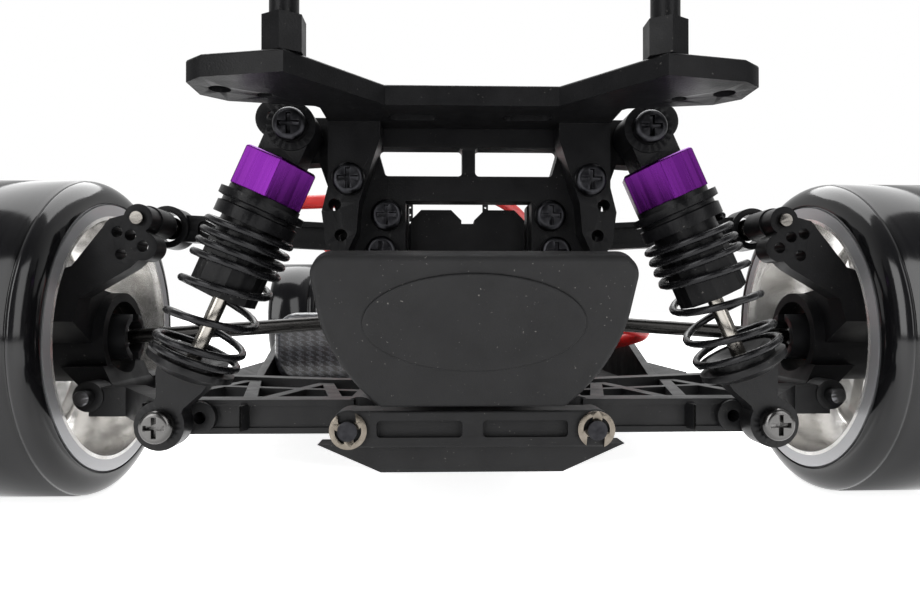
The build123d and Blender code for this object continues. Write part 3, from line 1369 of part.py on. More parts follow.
def make_battery():
    """A wrapped stick pack with rounded long edges."""
    (x0, x1), (y0, y1), (z0, z1) = BATTERY
    with BuildPart() as pack:
        with BuildSketch(across(y1)):
            with Locations(((x0 + x1) / 2, (z0 + z1) / 2)):
                RectangleRounded(x1 - x0, z1 - z0, 7.0)
        extrude(amount=y1 - y0)
        fillet(pack.faces().sort_by(Axis.Y)[0].edges(), 2.0)
        fillet(pack.faces().sort_by(Axis.Y)[-1].edges(), 2.0)
    return pack.part


def make_controller():
    """The speed controller: a case with a finned heat sink."""
    (x0, x1), (y0, y1), (z0, z1) = ESC
    middle = ((x0 + x1) / 2, (y0 + y1) / 2)
    with BuildPart() as case:
        with BuildSketch(Plane.XY.offset(z0)):
            with Locations(middle):
                RectangleRounded(x1 - x0, y1 - y0, 2.0)
        extrude(amount=z1 - z0)
        chamfer(case.faces().sort_by(Axis.Z)[-1].edges(), 0.6)
        with BuildSketch(Plane.XY.offset(z1)):
            with Locations(middle):
                with GridLocations(3.0, 0, 9, 1):
                    Rectangle(1.2, y1 - y0 - 8.0)
        extrude(amount=5.0)
    return case.part


def lead(points):
    """A round lead through the points, with arcs as large as its runs allow."""
    corners = [Vector(*point) for point in points]
    radii = []
    for before, corner, after in zip(corners, corners[1:], corners[2:]):
        turn = (corner - before).get_angle(after - corner)
        shorter = min((corner - before).length, (after - corner).length)
        radii.append(0.45 * shorter / tan(radians(turn) / 2))
    with BuildPart() as wire:
        with BuildLine() as path:
            FilletPolyline(*points, radius=radii)
        with BuildSketch(Plane(origin=path.line @ 0, z_dir=path.line % 0)):
            Circle(LEAD_R)
        sweep()
    return wire.part


BATTERY_LEAD = (
    (-30.0, -72.0, 26.0), (-30.0, -84.0, 26.0), (-31.0, -96.0, 33.0), (-31.0, -100.0, 46.0), (-33.0, -100.0, 56.8),
    (-44.5, -100.0, 57.2), (-45.0, -100.0, 65.6), (-30.0, -99.0, 66.4), (-16.0, -93.0, 68.5), (-6.0, -82.0, 72.0),
    (8.0, -72.0, 73.5), (19.0, -60.0, 70.0), (27.0, -46.0, 63.5), (33.0, -33.0, 60.8), (35.5, -21.0, 57.5),
    (36.0, -10.0, 48.0), (36.0, -3.5, 36.0), (36.0, 2.5, 26.5), (36.0, 16.0, 26.5),
)
MOTOR_LEAD = (
    (MOTOR_X + 10.5, MOTOR_BACK, MOTOR_Z), (MOTOR_X + 10.5, MOTOR_BACK - 9.0, MOTOR_Z),
    (MOTOR_X + 16.0, MOTOR_BACK - 17.0, MOTOR_Z - 1.0), (MOTOR_X + 24.6, MOTOR_BACK - 14.5, MOTOR_Z - 2.6),
    (MOTOR_X + 27.0, MOTOR_BACK - 4.0, MOTOR_Z - 4.2), (MOTOR_X + 25.4, MOTOR_BACK + 12.0, MOTOR_Z - 6.6),
    (MOTOR_X + 24.2, MOTOR_BACK + 30.0, MOTOR_Z - 9.0), (MOTOR_X + 24.0, MOTOR_BACK + 48.0, MOTOR_Z - 10.2),
    (MOTOR_X + 23.4, MOTOR_BACK + 65.0, MOTOR_Z - 10.8), (MOTOR_X + 20.6, MOTOR_BACK + 77.0, MOTOR_Z - 11.0),
    (MOTOR_X + 15.4, MOTOR_BACK + 86.0, MOTOR_Z - 11.0), (MOTOR_X + 15.4, ESC[1][0], MOTOR_Z - 11.0),
)


# ---------------------------------------------------------------- every piece, in place
corner_parts = {
    "tyre": lambda end: make_tyre(),
    "rim": lambda end: joined(make_rim(), make_axle(end)),
    "lower_arm": lambda end: joined(make_lower_arm(), make_arm_fasteners()),
    "upper_link": lambda end: make_upper_link(),
    "drive_shaft": make_drive_shaft,
    "shock_spring": lambda end: make_spring(),
    "shock_rod": lambda end: make_shock_rod(),
    "shock_body": lambda end: make_shock_body() if end == "rear" else joined(make_shock_body(), make_shock_cap()),
}
for end in ENDS:
    for name, make in corner_parts.items():
        model = make(end)
        for side in SIDES:
            finish(at_corner(model, end, side), f"{end}_{side}_{name}")
for side in SIDES:
    finish(at_corner(make_shock_cap(), "rear", side), f"rear_{side}_shock_cap")
    finish(at_corner(make_rear_hub(), "rear", side), f"rear_{side}_hub")
    finish(at_corner(make_c_hub(), "front", side), f"front_{side}_c_hub")
    finish(at_corner(make_knuckle(), "front", side), f"front_{side}_knuckle")
    finish(at_corner(make_tie_rod(), "front", side), f"front_{side}_tie_rod")

# The ring gears sit on opposite sides, so that one shaft drives both axles the same way
finish(make_differential(), "rear_differential")
finish(at_corner(make_differential(), "front", "left"), "front_differential")

finish(make_chassis(), "chassis_tub")
case = make_gearbox_case()
finish(joined(case, at_corner(case, "front", "right")), "gearbox_cases")
tower = make_tower()
finish(joined(tower, at_corner(tower, "front", "right")), "shock_towers")
mount_set = joined(make_body_mount(), make_post(), at_corner(make_post(), "rear", "left"))
finish(joined(mount_set, at_corner(mount_set, "front", "right")), "body_mounts")
finish(joined(make_guard(), make_brace()), "rear_guard")
finish(joined(make_bumper(), at_corner(make_brace(), "front", "right")), "front_bumper")
back_set = rear_fasteners()
finish(joined(back_set, at_corner(back_set, "front", "right")), "fasteners")
finish(make_centre_shaft(), "centre_shaft")
finish(make_pinion(), "motor_pinion")
finish(make_motor(), "motor")
finish(make_rack(), "steering_rack")
finish(make_servo(), "servo")
finish(make_horn(), "servo_horn")
finish(make_battery(), "battery")
finish(make_controller(), "speed_controller")
finish(joined(lead(BATTERY_LEAD), lead(MOTOR_LEAD)), "power_leads")
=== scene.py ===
"""The looks of a 1/10 scale shaft-driven drift car with its body shell off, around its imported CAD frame.

Metres, in the row frame: origin on the floor at the middle of the car, +X right, +Y forward, +Z up.
"""
import json
import math

import bmesh
import bpy
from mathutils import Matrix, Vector


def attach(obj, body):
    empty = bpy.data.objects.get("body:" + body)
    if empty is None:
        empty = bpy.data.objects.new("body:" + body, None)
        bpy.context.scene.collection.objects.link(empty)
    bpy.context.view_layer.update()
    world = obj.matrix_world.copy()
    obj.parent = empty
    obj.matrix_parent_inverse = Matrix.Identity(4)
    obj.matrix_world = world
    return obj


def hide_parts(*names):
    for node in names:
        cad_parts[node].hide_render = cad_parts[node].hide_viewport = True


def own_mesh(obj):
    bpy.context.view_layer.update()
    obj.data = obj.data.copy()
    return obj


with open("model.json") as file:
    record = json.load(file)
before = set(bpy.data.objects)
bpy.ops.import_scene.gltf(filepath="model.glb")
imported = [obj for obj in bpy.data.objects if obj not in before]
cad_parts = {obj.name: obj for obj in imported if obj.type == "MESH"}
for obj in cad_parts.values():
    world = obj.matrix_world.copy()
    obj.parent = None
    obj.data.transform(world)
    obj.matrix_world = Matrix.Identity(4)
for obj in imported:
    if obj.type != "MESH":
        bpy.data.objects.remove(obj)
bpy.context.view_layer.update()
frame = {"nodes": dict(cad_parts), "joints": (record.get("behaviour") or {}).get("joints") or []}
MM = 0.001

# ---------------------------------------------------------------- places worked out from the frame
joints = {joint["name"]: joint for joint in frame["joints"]}


def pin_place(joint):
    """How far out and how high a joint's pin is."""
    x, _, z = joints[joint]["pos_m"]
    return abs(x), z


AXLE_Y = abs(joints["rear_right_wheel_spin"]["pos_m"][1])
AXLE_Z = joints["rear_right_wheel_spin"]["pos_m"][2]
SHAFT_Z = joints["centre_shaft_spin"]["pos_m"][2]
HUB_PIN = pin_place("rear_right_hub_pivot")
ARM_PIN = pin_place("rear_right_arm_swing")
SHOCK_TOP = Vector(joints["rear_right_shock_swing"]["pos_m"])
SHOCK_UP = Vector(joints["rear_right_rod_slide"]["axis"]).normalized()    # right rear shock, towards its top

# Where one finish gives way to another on a CAD piece, mostly a hair off the faces beside it
SCREW_FROM_Y = AXLE_Y + 35.5 * MM      # the shock's lower screw, on an arm
PIN_R = 1.452 * MM                     # the outer pin of an arm
BEARING_R = (5.0 * MM, 7.47 * MM)      # a hub's bearing
LINK_BALL = (61.7 * MM, 55.5 * MM)     # the ball stud of an upper link: how far out and how high
STUD_R = 1.215 * MM
STUD_FLANGE_R = 2.8 * MM
STUD_TO_Y = AXLE_Y + 5.05 * MM         # the stud's flange
TREAD_R = (30.5 * MM, 32.4 * MM)       # from the tyre's shoulder to its tread
LIP_R = 25.3 * MM                      # the rim's outer lip
HEX_R, HEX_TO_X = 7.4 * MM, 90.25 * MM        # the axle and its drive hex
NUT_R, NUT_FROM_X = 4.3 * MM, 93.02 * MM      # the wheel nut
CAP_ALONG = (5.1 * MM, 11.65 * MM)     # along a shock, from its top eye
CAP_BORE_R = 2.47 * MM
ROD_R = 1.23 * MM
CLIP_FROM_Y = AXLE_Y + 46.55 * MM      # the clips on the hinge pins of the arms
CLIP_R = (1.455 * MM, 3.6 * MM)
BELL_FROM_Y = 72.9 * MM                # the motor's black endbell
SPUR_FROM_R = 4.35 * MM                # the moulded gear round the centre shaft

# ---------------------------------------------------------------- material helpers
NOISE_SPAN = (0.3, 0.7)                # a noise's values lie mostly between these


def rgba(colour):
    """Four channels from three, or from a grey."""
    return (*colour, 1.0) if isinstance(colour, tuple) else (colour, colour, colour, 1.0)


class Look:
    """One node material with its Principled shader, and short calls for the nodes that feed it."""

    def __init__(self, name, **sockets):
        self.material = bpy.data.materials.new(name)
        self.material.use_nodes = True
        self.tree = self.material.node_tree
        self.shader = self.tree.nodes["Principled BSDF"]
        self.coords = self.add("ShaderNodeTexCoord").outputs["Object"]
        for socket, value in sockets.items():
            self.shader.inputs[socket.replace("_", " ")].default_value = value

    def add(self, kind, **settings):
        node = self.tree.nodes.new(kind)
        for name, value in settings.items():
            setattr(node, name, value)
        return node

    def wire(self, target, source):
        """Feed a socket with a number, a colour or another socket."""
        if isinstance(source, bpy.types.NodeSocket):
            self.tree.links.new(source, target)
        else:
            target.default_value = source

    def math(self, operation, first, second=0.0):
        node = self.add("ShaderNodeMath", operation=operation)
        self.wire(node.inputs[0], first)
        self.wire(node.inputs[1], second)
        return node.outputs[0]

    def xyz(self):
        """x, y and z of the rest pose."""
        split = self.add("ShaderNodeSeparateXYZ")
        self.wire(split.inputs[0], self.coords)
        return split.outputs

    def axes(self):
        """|x|, |y| and z of the rest pose, so that one look fits all four corners."""
        x, y, z = self.xyz()
        return self.math("ABSOLUTE", x), self.math("ABSOLUTE", y), z

    def noise(self, scale, detail=4.0, stretch=(1.0, 1.0, 1.0), roughness=0.5):
        """A noise from 0 to 1 with so many spots per metre, more of them along a stretched axis."""
        mapping = self.add("ShaderNodeMapping")
        mapping.inputs["Scale"].default_value = stretch
        self.wire(mapping.inputs["Vector"], self.coords)
        return self.noise_at(mapping.outputs[0], scale, detail, roughness)

    def noise_at(self, place, scale, detail, roughness=0.5):
        noise = self.add("ShaderNodeTexNoise")
        noise.inputs["Scale"].default_value = scale
        noise.inputs["Detail"].default_value = detail
        noise.inputs["Roughness"].default_value = roughness
        self.wire(noise.inputs["Vector"], place)
        return noise.outputs["Fac"]

    def tones(self, source, dark, light, span=NOISE_SPAN):
        """A colour or grey that goes from dark to light while a value crosses its span."""
        ramp = self.add("ShaderNodeValToRGB")
        for element, position, colour in zip(ramp.color_ramp.elements, span, (dark, light)):
            element.position = position
            element.color = rgba(colour)
        self.wire(ramp.inputs[0], source)
        return ramp.outputs[0]

    def range(self, source, low, high, span=NOISE_SPAN):
        """A number that goes from low to high while a value crosses its span."""
        node = self.add("ShaderNodeMapRange")
        self.wire(node.inputs["Value"], source)
        for name, value in zip(("From Min", "From Max", "To Min", "To Max"), (*span, low, high)):
            self.wire(node.inputs[name], value)
        return node.outputs[0]

    def times(self, first, second):
        return self.math("MULTIPLY", first, second)

    def above(self, value, limit):
        """A mask: 1 where the value is over a limit, otherwise 0."""
        return self.math("GREATER_THAN", value, limit)

    def below(self, value, limit):
        return self.math("LESS_THAN", value, limit)

    def both(self, first, second):
        """A mask of what lies under two masks."""
        return self.times(first, second)

    def either(self, first, second):
        return self.math("MAXIMUM", first, second)

    def between(self, value, low, high):
        return self.both(self.above(value, low), self.below(value, high))

    def without(self, mask):
        """A mask of all that lies outside one."""
        return self.math("SUBTRACT", 1.0, mask)

    def distance(self, u, v, centre):
        """How far a point of two axes is from a centre on them."""
        du = self.math("SUBTRACT", u, centre[0])
        dv = self.math("SUBTRACT", v, centre[1])
        return self.math("SQRT", self.math("ADD", self.times(du, du), self.times(dv, dv)))

    def mix(self, mask, first, second):
        """A colour: the first where the mask is 0, the second where it is 1."""
        node = self.add("ShaderNodeMix", data_type="RGBA")
        self.wire(node.inputs["Factor"], mask)
        for socket, value in zip((node.inputs[6], node.inputs[7]), (first, second)):
            self.wire(socket, value if isinstance(value, bpy.types.NodeSocket) else rgba(value))
        return node.outputs[2]

    def blend(self, mask, first, second):
        """A number: the first where the mask is 0, the second where it is 1."""
        node = self.add("ShaderNodeMix", data_type="FLOAT")
        self.wire(node.inputs[0], mask)
        self.wire(node.inputs[2], first)
        self.wire(node.inputs[3], second)
        return node.outputs[0]

    def colour(self, source):
        self.wire(self.shader.inputs["Base Color"], source)

    def rough(self, source):
        self.wire(self.shader.inputs["Roughness"], source)

    def metal(self, source):
        self.wire(self.shader.inputs["Metallic"], source)

    def bump(self, height, depth, strength):
        node = self.add("ShaderNodeBump")
        node.inputs["Strength"].default_value = strength
        node.inputs["Distance"].default_value = depth
        self.wire(node.inputs["Height"], height)
        self.wire(self.shader.inputs["Normal"], node.outputs[0])


PLASTIC = (0.0036, 0.0036, 0.0040)
DUST = (0.10, 0.097, 0.090)
DULL, SHEEN = 0.11, 0.25               # specular levels of the black nylons, under the usual 0.5


def plastic(look, rough, dust, metal_mask=None, metal=None):
    """Moulded black plastic: fine grain, patchy sheen and specks of dust.

    metal is the colour and roughness of the metal parts that the piece carries, under their mask.
    """
    sheen = look.range(look.noise(180.0, 5.0), *rough)
    dark, light = (tuple(share * channel for channel in PLASTIC) for share in (0.8, 1.35))
    tone = look.tones(look.noise(420.0, 6.0, roughness=0.65), dark, light, span=(0.25, 0.75))
    specks = look.range(look.noise(2600.0, 1.0, roughness=0.3), 0.0, 1.0, span=(0.74, 0.77))
    settled = look.range(look.noise(300.0, 2.0), 0.0, dust, span=(0.48, 0.62))
    tone = look.mix(look.times(specks, settled), tone, DUST)
    grain = look.noise(3600.0, 3.0)
    if metal_mask is not None:
        colour, roughness = metal
        tone = look.mix(metal_mask, tone, colour)
        sheen = look.blend(metal_mask, sheen, roughness)
        grain = look.times(grain, look.without(metal_mask))
        look.metal(metal_mask)
    look.colour(tone)
    look.rough(sheen)
    look.bump(grain, 0.06 * MM, 0.55)
    return look


def scratched(look, base, spread, rough, scale, stretch, relief=0.3):
    """Brushed or turned metal: stretched fine lines in tone, roughness and bump."""
    lines = look.noise(scale, 6.0, stretch, roughness=0.7)
    dark, light = (tuple(share * channel for channel in base) for share in (1 - spread, 1 + spread))
    look.colour(look.tones(lines, dark, light))
    look.rough(look.range(lines, *rough))
    look.bump(lines, 0.04 * MM, relief)
    return look


# ---------------------------------------------------------------- the looks
def arm_plastic():
    """Lower arms, with the shock's screw and the outer pin in dark steel."""
    look = Look("arm_plastic", Specular_IOR_Level=SHEEN)
    x, y, z = look.axes()
    screw = look.above(y, SCREW_FROM_Y)
    pin = look.below(look.distance(x, z, HUB_PIN), PIN_R)
    metals = look.mix(screw, (0.12, 0.12, 0.125), (0.10, 0.098, 0.096))
    return plastic(look, (0.36, 0.56), 0.6, look.either(screw, pin), (metals, 0.24))


def hub_plastic():
    """Hubs and knuckles, with their bearings and the link's ball stud."""
    look = Look("hub_plastic", Specular_IOR_Level=DULL)
    x, y, z = look.axes()
    bearing = look.between(look.distance(y, z, (AXLE_Y, AXLE_Z)), *BEARING_R)
    stud_r = look.distance(x, z, LINK_BALL)
    flange = look.both(look.below(stud_r, STUD_FLANGE_R), look.below(y, STUD_TO_Y))
    stud = look.either(look.below(stud_r, STUD_R), flange)
    return plastic(look, (0.36, 0.56), 0.6, look.either(bearing, stud), ((0.13, 0.122, 0.112), 0.26))


def tyre_compound():
    """Hard glossy compound, with rubbing round the tread."""
    look = Look("tyre_compound", Specular_IOR_Level=0.35)
    _, y, z = look.axes()
    rings = look.noise(60.0, 5.0, (26.0, 1.0, 1.0), 0.6)
    worn = look.range(look.distance(y, z, (AXLE_Y, AXLE_Z)), 0.0, 1.0, span=TREAD_R)
    look.colour(look.mix(look.times(worn, rings), (0.0032, 0.0032, 0.0036), (0.010, 0.010, 0.011)))
    look.rough(look.math("ADD", 0.07, look.times(rings, 0.10)))
    look.bump(rings, 0.05 * MM, 0.25)
    return look


def silver_plating():
    """Rims: silver plating, greyer on the lip, with the blackened steel of axle, hex and nut. The warm tint
    of the mottled plating is a painted reflection; the mottling itself is the plating's own uneven tone.
    """
    look = Look("silver_plating", Metallic=0.75)
    x, y, z = look.axes()
    rim_r = look.distance(y, z, (AXLE_Y, AXLE_Z))
    mottle = look.noise(240.0, 5.0)
    lip = look.above(rim_r, LIP_R)
    # Mottled plating: the uneven tone is the plating's own, its warm tint a painted reflection of warm
    # surroundings
    plated_with_painted_reflection = look.mix(lip, look.tones(mottle, (0.56, 0.545, 0.52), (0.80, 0.79, 0.775)), (0.36, 0.36, 0.37))
    axle = look.both(look.below(rim_r, HEX_R), look.below(x, HEX_TO_X))
    nut = look.both(look.below(rim_r, NUT_R), look.above(x, NUT_FROM_X))
    steel = look.either(axle, nut)
    look.colour(look.mix(steel, plated_with_painted_reflection, (0.028, 0.028, 0.030)))
    look.rough(look.blend(steel, look.blend(lip, look.range(mottle, 0.14, 0.26), 0.38), 0.32))
    look.bump(look.noise(2200.0, 3.0), 0.03 * MM, 0.08)
    return look


def shock_axes(look):
    """Distance along the shock from its top eye, and from its axis."""
    x, y, z = look.axes()
    dx = look.math("SUBTRACT", x, abs(SHOCK_TOP.x))
    dz = look.math("SUBTRACT", z, SHOCK_TOP.z)
    along = look.math("SUBTRACT", look.times(dx, abs(SHOCK_UP.x)), look.times(dz, SHOCK_UP.z))
    side = look.math("ADD", look.times(dx, SHOCK_UP.z), look.times(dz, abs(SHOCK_UP.x)))
    return along, look.distance(side, y, (0.0, abs(SHOCK_TOP.y)))


def anodised(look, along):
    """The fine lines that a drawn hexagon bar keeps along the shock, and their purple."""
    x, y, z = look.axes()
    side = look.math("ADD", look.times(x, SHOCK_UP.z), look.times(z, abs(SHOCK_UP.x)))
    place = look.add("ShaderNodeCombineXYZ")
    for target, distance, lines_per_metre in zip(place.inputs, (side, y, along), (1400.0, 1400.0, 45.0)):
        look.wire(target, look.times(distance, lines_per_metre))
    lines = look.noise_at(place.outputs[0], 1.0, 4.0)
    return lines, look.tones(lines, (0.062, 0.007, 0.100), (0.098, 0.013, 0.150), span=(0.32, 0.68))


def shock_cap():
    """A cap of purple anodised hexagon bar."""
    look = Look("purple_anodised", Metallic=1.0)
    lines, purple = anodised(look, shock_axes(look)[0])
    look.colour(purple)
    look.rough(look.range(lines, 0.22, 0.34))
    look.bump(lines, 0.02 * MM, 0.3)
    return look


def shock_body():
    """Shock bodies: the front ones carry their cap in the same piece."""
    look = Look("shock_plastic", Specular_IOR_Level=DULL)
    along, radius = shock_axes(look)
    cap = look.both(look.between(along, *CAP_ALONG), look.above(radius, CAP_BORE_R))
    return plastic(look, (0.24, 0.40), 0.6, cap, (anodised(look, along)[1], 0.28))


def shock_rod():
    """A steel rod in its plastic seat and eye."""
    look = Look("shock_seat", Specular_IOR_Level=0.2)
    rod = look.below(shock_axes(look)[1], ROD_R)
    return plastic(look, (0.26, 0.44), 0.5, rod, ((0.34, 0.32, 0.29), 0.24))


def fastener_steel():
    """Black oxide screws and pins, nickel clips."""
    look = Look("fasteners", Metallic=1.0)
    x, y, z = look.axes()
    clip = look.both(look.above(y, CLIP_FROM_Y), look.between(look.distance(x, z, ARM_PIN), *CLIP_R))
    smears = look.noise(900.0, 5.0)
    nickel = look.tones(smears, (0.115, 0.100, 0.082), (0.175, 0.155, 0.130))
    oxide = look.tones(smears, (0.014, 0.014, 0.016), (0.034, 0.034, 0.037))
    look.colour(look.mix(clip, oxide, nickel))
    look.rough(look.blend(clip, look.range(smears, 0.28, 0.42), 0.24))
    look.bump(look.noise(3000.0, 3.0), 0.03 * MM, 0.3)
    return look


def motor_can():
    """A drawn can with a black endbell."""
    look = Look("motor_can")
    _, y, _ = look.axes()
    bell = look.above(y, BELL_FROM_Y)
    lines = look.noise(700.0, 5.0, (1.0, 14.0, 1.0), 0.6)
    can = look.tones(lines, (0.075, 0.075, 0.078), (0.135, 0.132, 0.128))
    look.colour(look.mix(bell, can, PLASTIC))
    look.rough(look.blend(bell, look.range(lines, 0.22, 0.36), 0.5))
    look.metal(look.without(bell))
    look.bump(lines, 0.03 * MM, 0.3)
    return look


CELL = 1.5 * MM


def twill_bands(look, across, up):
    """0 and 1 in turn over bands one cell wide, counted from a metre away so that no place is negative."""
    place = look.math("ADD", look.math("ADD", across, up), 1.0)
    return look.above(look.math("MODULO", place, 2 * CELL), CELL)


def woven_wrap():
    """The battery's shrink wrap, printed as a twill weave."""
    look = Look("woven_wrap", Coat_Weight=0.6, Coat_Roughness=0.1)
    x, y, z = look.xyz()
    weave = look.math("ABSOLUTE", look.math("SUBTRACT", twill_bands(look, x, z), twill_bands(look, y, z)))
    fibres = look.noise(2500.0, 2.0, (1.0, 5.0, 1.0))
    under = look.tones(fibres, (0.012, 0.012, 0.014), (0.03, 0.03, 0.034))
    over = look.tones(fibres, (0.055, 0.058, 0.066), (0.12, 0.125, 0.14))
    look.colour(look.mix(weave, under, over))
    look.rough(look.blend(weave, 0.42, 0.24))
    look.bump(weave, 0.05 * MM, 0.4)
    return look


def red_silicone():
    """The rubbery skin of the power leads, unevenly matt."""
    look = Look("red_silicone", Subsurface_Weight=0.05)
    tone = look.noise(300.0, 4.0)
    look.colour(look.tones(tone, (0.40, 0.010, 0.012), (0.56, 0.022, 0.02)))
    look.rough(look.range(tone, 0.36, 0.5))
    return look


def centre_drive():
    """Centre shaft: dark steel with a moulded spur gear."""
    look = Look("centre_drive")
    x, _, z = look.axes()
    gear = look.above(look.distance(x, z, (0.0, SHAFT_Z)), SPUR_FROM_R)
    grain = look.noise(900.0, 4.0)
    steel = look.tones(grain, 0.10, 0.18)
    moulded = look.tones(grain, (0.016, 0.016, 0.018), (0.03, 0.03, 0.032))
    look.colour(look.mix(gear, steel, moulded))
    look.rough(look.blend(gear, 0.28, 0.5))
    look.metal(look.without(gear))
    look.bump(grain, 0.03 * MM, 0.3)
    return look


looks = {
    "plastic": plastic(Look("black_plastic", Specular_IOR_Level=DULL), rough=(0.30, 0.50), dust=0.5),
    "guard": plastic(Look("guard_plastic", Specular_IOR_Level=0.24), rough=(0.50, 0.64), dust=1.0),
    "tub": plastic(Look("tub_plastic", Specular_IOR_Level=SHEEN), rough=(0.40, 0.60), dust=0.7),
    "bumper": plastic(Look("bumper_black", Specular_IOR_Level=SHEEN), rough=(0.5, 0.7), dust=0.5),
    "case": plastic(Look("case_plastic", Coat_Weight=0.2), rough=(0.24, 0.40), dust=0.2),
    "arm": arm_plastic(),
    "hub": hub_plastic(),
    "tyre": tyre_compound(),
    "rim": silver_plating(),
    "cap": shock_cap(),
    "shock_body": shock_body(),
    "shock_rod": shock_rod(),
    "spring": scratched(Look("coated_wire", Metallic=0.5, Specular_IOR_Level=0.35), (0.008, 0.008, 0.009),
                        spread=0.25, rough=(0.20, 0.34), scale=2400.0, stretch=(1.0, 1.0, 1.0), relief=0.08),
    "steel": scratched(Look("dark_steel", Metallic=1.0), (0.030, 0.029, 0.028),
                       spread=0.25, rough=(0.24, 0.32), scale=500.0, stretch=(1.0, 6.0, 6.0)),
    "alloy": scratched(Look("satin_alloy", Metallic=1.0), (0.45, 0.45, 0.46),
                       spread=0.1, rough=(0.3, 0.42), scale=900.0, stretch=(8.0, 1.0, 1.0)),
    "pinion": scratched(Look("pinion_steel", Metallic=1.0), (0.42, 0.36, 0.26),
                        spread=0.15, rough=(0.18, 0.34), scale=1200.0, stretch=(1.0, 6.0, 1.0)),
    "fasteners": fastener_steel(),
    "motor": motor_can(),
    "battery": woven_wrap(),
    "lead": red_silicone(),
    "centre": centre_drive(),
}

# ---------------------------------------------------------------- CAD nodes: materials, soft edges
# By the ending of a node's name; what isn't here is plain black plastic
LOOK_OF = {
    "rear_guard": "guard", "chassis_tub": "tub", "front_bumper": "bumper", "fasteners": "fasteners",
    "servo": "case", "speed_controller": "case", "battery": "battery", "power_leads": "lead",
    "motor": "motor", "motor_pinion": "pinion", "centre_shaft": "centre", "steering_rack": "alloy",
    "_drive_shaft": "steel", "_differential": "steel", "_tyre": "tyre", "_rim": "rim",
    "_shock_cap": "cap", "_shock_body": "shock_body", "_shock_rod": "shock_rod", "_shock_spring": "spring",
    "_lower_arm": "arm", "_hub": "hub", "_knuckle": "hub",
}
# How wide the rounding of edges is, in millimetres, and 0 for none
EDGE_OF = {
    "rear_guard": 0.30, "body_mounts": 0.30, "chassis_tub": 0.35, "gearbox_cases": 0.30, "shock_towers": 0.25,
    "front_bumper": 0.4, "battery": 0.0, "power_leads": 0.0, "fasteners": 0.10, "_tyre": 0.0, "_knuckle": 0.2,
    "_lower_arm": 0.22, "_hub": 0.22, "_upper_link": 0.2, "_shock_cap": 0.15, "_shock_spring": 0.0,
}
USUAL_EDGE = 0.12
SHARP = math.radians(32)


def entry_for(name, table, usual):
    """The entry of a table for the ending that a node's name has."""
    return next((entry for ending, entry in table.items() if name.endswith(ending)), usual)


for name, node in frame["nodes"].items():
    node.data.materials.clear()
    node.data.materials.append(looks[entry_for(name, LOOK_OF, "plastic")].material)
    weld = node.modifiers.new("weld", "WELD")
    weld.merge_threshold = 0.004 * MM
    edge = entry_for(name, EDGE_OF, USUAL_EDGE)
    if edge:
        bevel = node.modifiers.new("soft_edges", "BEVEL")
        bevel.width = edge * MM
        bevel.segments = 2
        bevel.limit_method = "ANGLE"
        bevel.angle_limit = SHARP
        bevel.miter_outer = "MITER_ARC"
    if not name.endswith("_tyre"):
        creases = node.modifiers.new("creases", "EDGE_SPLIT")
        creases.split_angle = SHARP
        normals = node.modifiers.new("face_normals", "WEIGHTED_NORMAL")
        normals.weight = 80

# ---------------------------------------------------------------- springs with close coils at the top
WIRE_R = 0.6 * MM
SPRING_R = 6.65 * MM
SPRING_FROM, SPRING_TO = 17.3 * MM, 39.1 * MM      # along the shock, from its top eye
CLOSE_COILS, OPEN_COILS, SEAT_COILS = 3.2, 3.3, 0.9
COILS = CLOSE_COILS + OPEN_COILS + SEAT_COILS
CLOSE_PITCH = 1.8 * MM
SEAT_PITCH = 1.35 * MM
OPEN_LENGTH = SPRING_TO - SPRING_FROM - CLOSE_COILS * CLOSE_PITCH - SEAT_COILS * SEAT_PITCH
WIRE_POINTS = 10                       # round the wire
COIL_RINGS = 22                        # round the coil


def spring_drop(coils):
    """How far down the wire has come after so many coils: close, then open, then close on the seat."""
    close = min(coils, CLOSE_COILS) * CLOSE_PITCH
    part = min(max(coils - CLOSE_COILS, 0.0) / OPEN_COILS, 1.0)
    eased = 0.5 * part + 1.5 * part**2 - part**3
    seat = max(coils - CLOSE_COILS - OPEN_COILS, 0.0) * SEAT_PITCH
    return close + OPEN_LENGTH * eased + seat


def make_spring(name, top, down, turn):
    """A wire of round section wound about the shock's axis."""
    side = down.cross(Vector((0, 1, 0))).normalized()
    forward = down.cross(side).normalized()
    count = int(COILS * COIL_RINGS)
    mesh = bmesh.new()
    rings = []
    for step in range(count + 1):
        coils = COILS * step / count
        angle = turn * 2 * math.pi * coils
        out = side * math.cos(angle) + forward * math.sin(angle)
        centre = top + down * (SPRING_FROM + spring_drop(coils)) + out * SPRING_R
        ring = []
        for point in range(WIRE_POINTS):
            bend = 2 * math.pi * point / WIRE_POINTS
            place = centre + out * (WIRE_R * math.cos(bend)) + down * (WIRE_R * math.sin(bend))
            ring.append(mesh.verts.new(place))
        rings.append(ring)
    for first, second in zip(rings, rings[1:]):
        for point in range(WIRE_POINTS):
            after = (point + 1) % WIRE_POINTS
            mesh.faces.new((first[point], first[after], second[after], second[point]))
    mesh.faces.new(rings[0])
    mesh.faces.new(list(reversed(rings[-1])))
    bmesh.ops.recalc_face_normals(mesh, faces=mesh.faces)
    data = bpy.data.meshes.new(name)
    mesh.to_mesh(data)
    mesh.free()
    for polygon in data.polygons:
        polygon.use_smooth = True
    data.materials.append(looks["spring"].material)
    spring = bpy.data.objects.new(name, data)
    bpy.context.scene.collection.objects.link(spring)
    return spring


for end in ("rear", "front"):
    for side, turn in (("left", 1), ("right", -1)):
        corner = f"{end}_{side}"
        slide = joints[f"{corner}_rod_slide"]
        top = Vector(joints[f"{corner}_shock_swing"]["pos_m"])
        down = -Vector(slide["axis"]).normalized()
        spring = make_spring(f"{corner}_spring", top, down, turn)
        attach(spring, f"{corner}_shock")
        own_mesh(spring)
        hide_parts(f"{corner}_shock_spring")

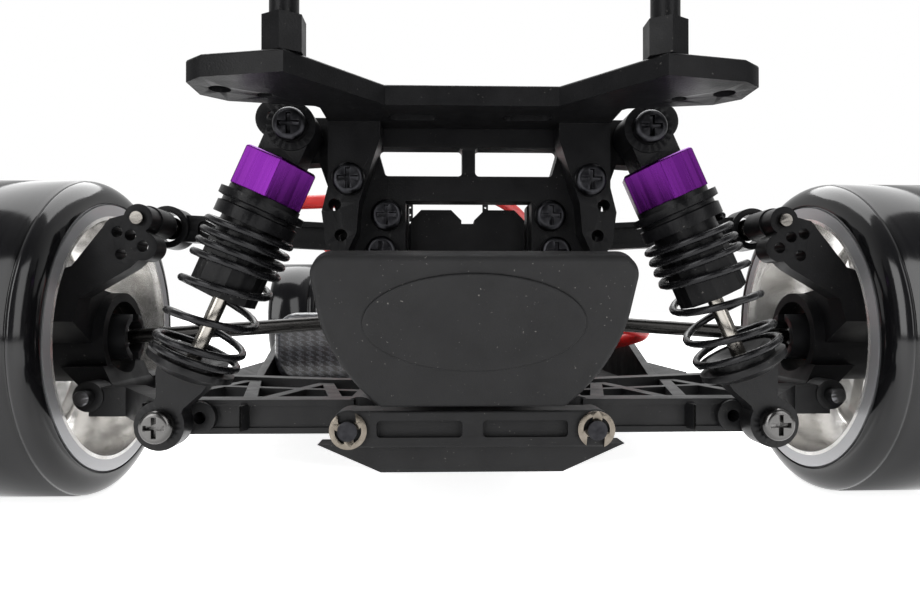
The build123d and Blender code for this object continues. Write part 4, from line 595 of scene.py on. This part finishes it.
# ---------------------------------------------------------------- floor and lights
floor_look = Look("pale_floor", Roughness=0.6, Emission_Color=(1.0, 1.0, 1.0, 1.0), Emission_Strength=0.85)
floor_look.colour(floor_look.tones(floor_look.noise(3.0, 3.0), 0.92, 0.94))
floor_data = bpy.data.meshes.new("floor")
floor_data.from_pydata([(-4, -3, 0), (4, -3, 0), (4, 7, 0), (-4, 7, 0)], [], [(0, 1, 2, 3)])
floor_data.materials.append(floor_look.material)
floor = bpy.data.objects.new("floor", floor_data)
bpy.context.scene.collection.objects.link(floor)


def area_light(name, place, target, width, height, watts):
    data = bpy.data.lights.new(name, "AREA")
    data.energy = watts
    data.shape = "RECTANGLE"
    data.size = width
    data.size_y = height
    light = bpy.data.objects.new(name, data)
    light.location = place
    light.rotation_euler = (Vector(target) - Vector(place)).to_track_quat("-Z", "Y").to_euler()
    bpy.context.scene.collection.objects.link(light)


area_light("top", (0.0, 0.55, 1.3), (0.0, 0.0, 0.0), 1.5, 1.5, 30)
for side, sign, watts in (("left", -1, 15), ("right", 1, 9.5)):
    area_light(f"{side}_box", (sign * 0.80, -1.25, 0.66), (sign * 0.05, -0.13, 0.04), 0.75, 1.25, watts)

# White all round as a backdrop, but the room behind the camera gives little light
ROOM_LIGHT = 0.03
SWEEP_LIGHT = 0.8
TURN_Y = (-0.55, 0.45)                 # room light up to the first, sweep light past the second
world = bpy.data.worlds.new("studio")
world.use_nodes = True
tree = world.node_tree
background = tree.nodes["Background"]
background.inputs["Color"].default_value = (1.0, 1.0, 1.0, 1.0)
direction = tree.nodes.new("ShaderNodeSeparateXYZ")
tree.links.new(tree.nodes.new("ShaderNodeTexCoord").outputs["Generated"], direction.inputs[0])
room = tree.nodes.new("ShaderNodeMapRange")
room.interpolation_type = "SMOOTHSTEP"
for name, value in zip(("From Min", "From Max", "To Min", "To Max"), (*TURN_Y, ROOM_LIGHT, SWEEP_LIGHT)):
    room.inputs[name].default_value = value
tree.links.new(direction.outputs["Y"], room.inputs["Value"])
seen = tree.nodes.new("ShaderNodeMix")
tree.links.new(tree.nodes.new("ShaderNodeLightPath").outputs["Is Camera Ray"], seen.inputs[0])
tree.links.new(room.outputs[0], seen.inputs[2])
seen.inputs[3].default_value = 1.0
tree.links.new(seen.outputs[0], background.inputs["Strength"])
bpy.context.scene.world = world
bpy.context.scene.view_settings.view_transform = "Standard"

# ---------------------------------------------------------------- camera
CAMERA = (-4.7 * MM, -278.0 * MM, 38.2 * MM)
YAW, PITCH = 1.6, 0.33                 # degrees to the right and up
camera_data = bpy.data.cameras.new("camera")
camera_data.lens = 27.0
camera_data.sensor_width = 36.0
camera_data.clip_start = 0.01
camera = bpy.data.objects.new("camera", camera_data)
camera.location = CAMERA
camera.rotation_euler = (math.radians(90 + PITCH), 0, math.radians(-YAW))
bpy.context.scene.collection.objects.link(camera)
bpy.context.scene.camera = camera
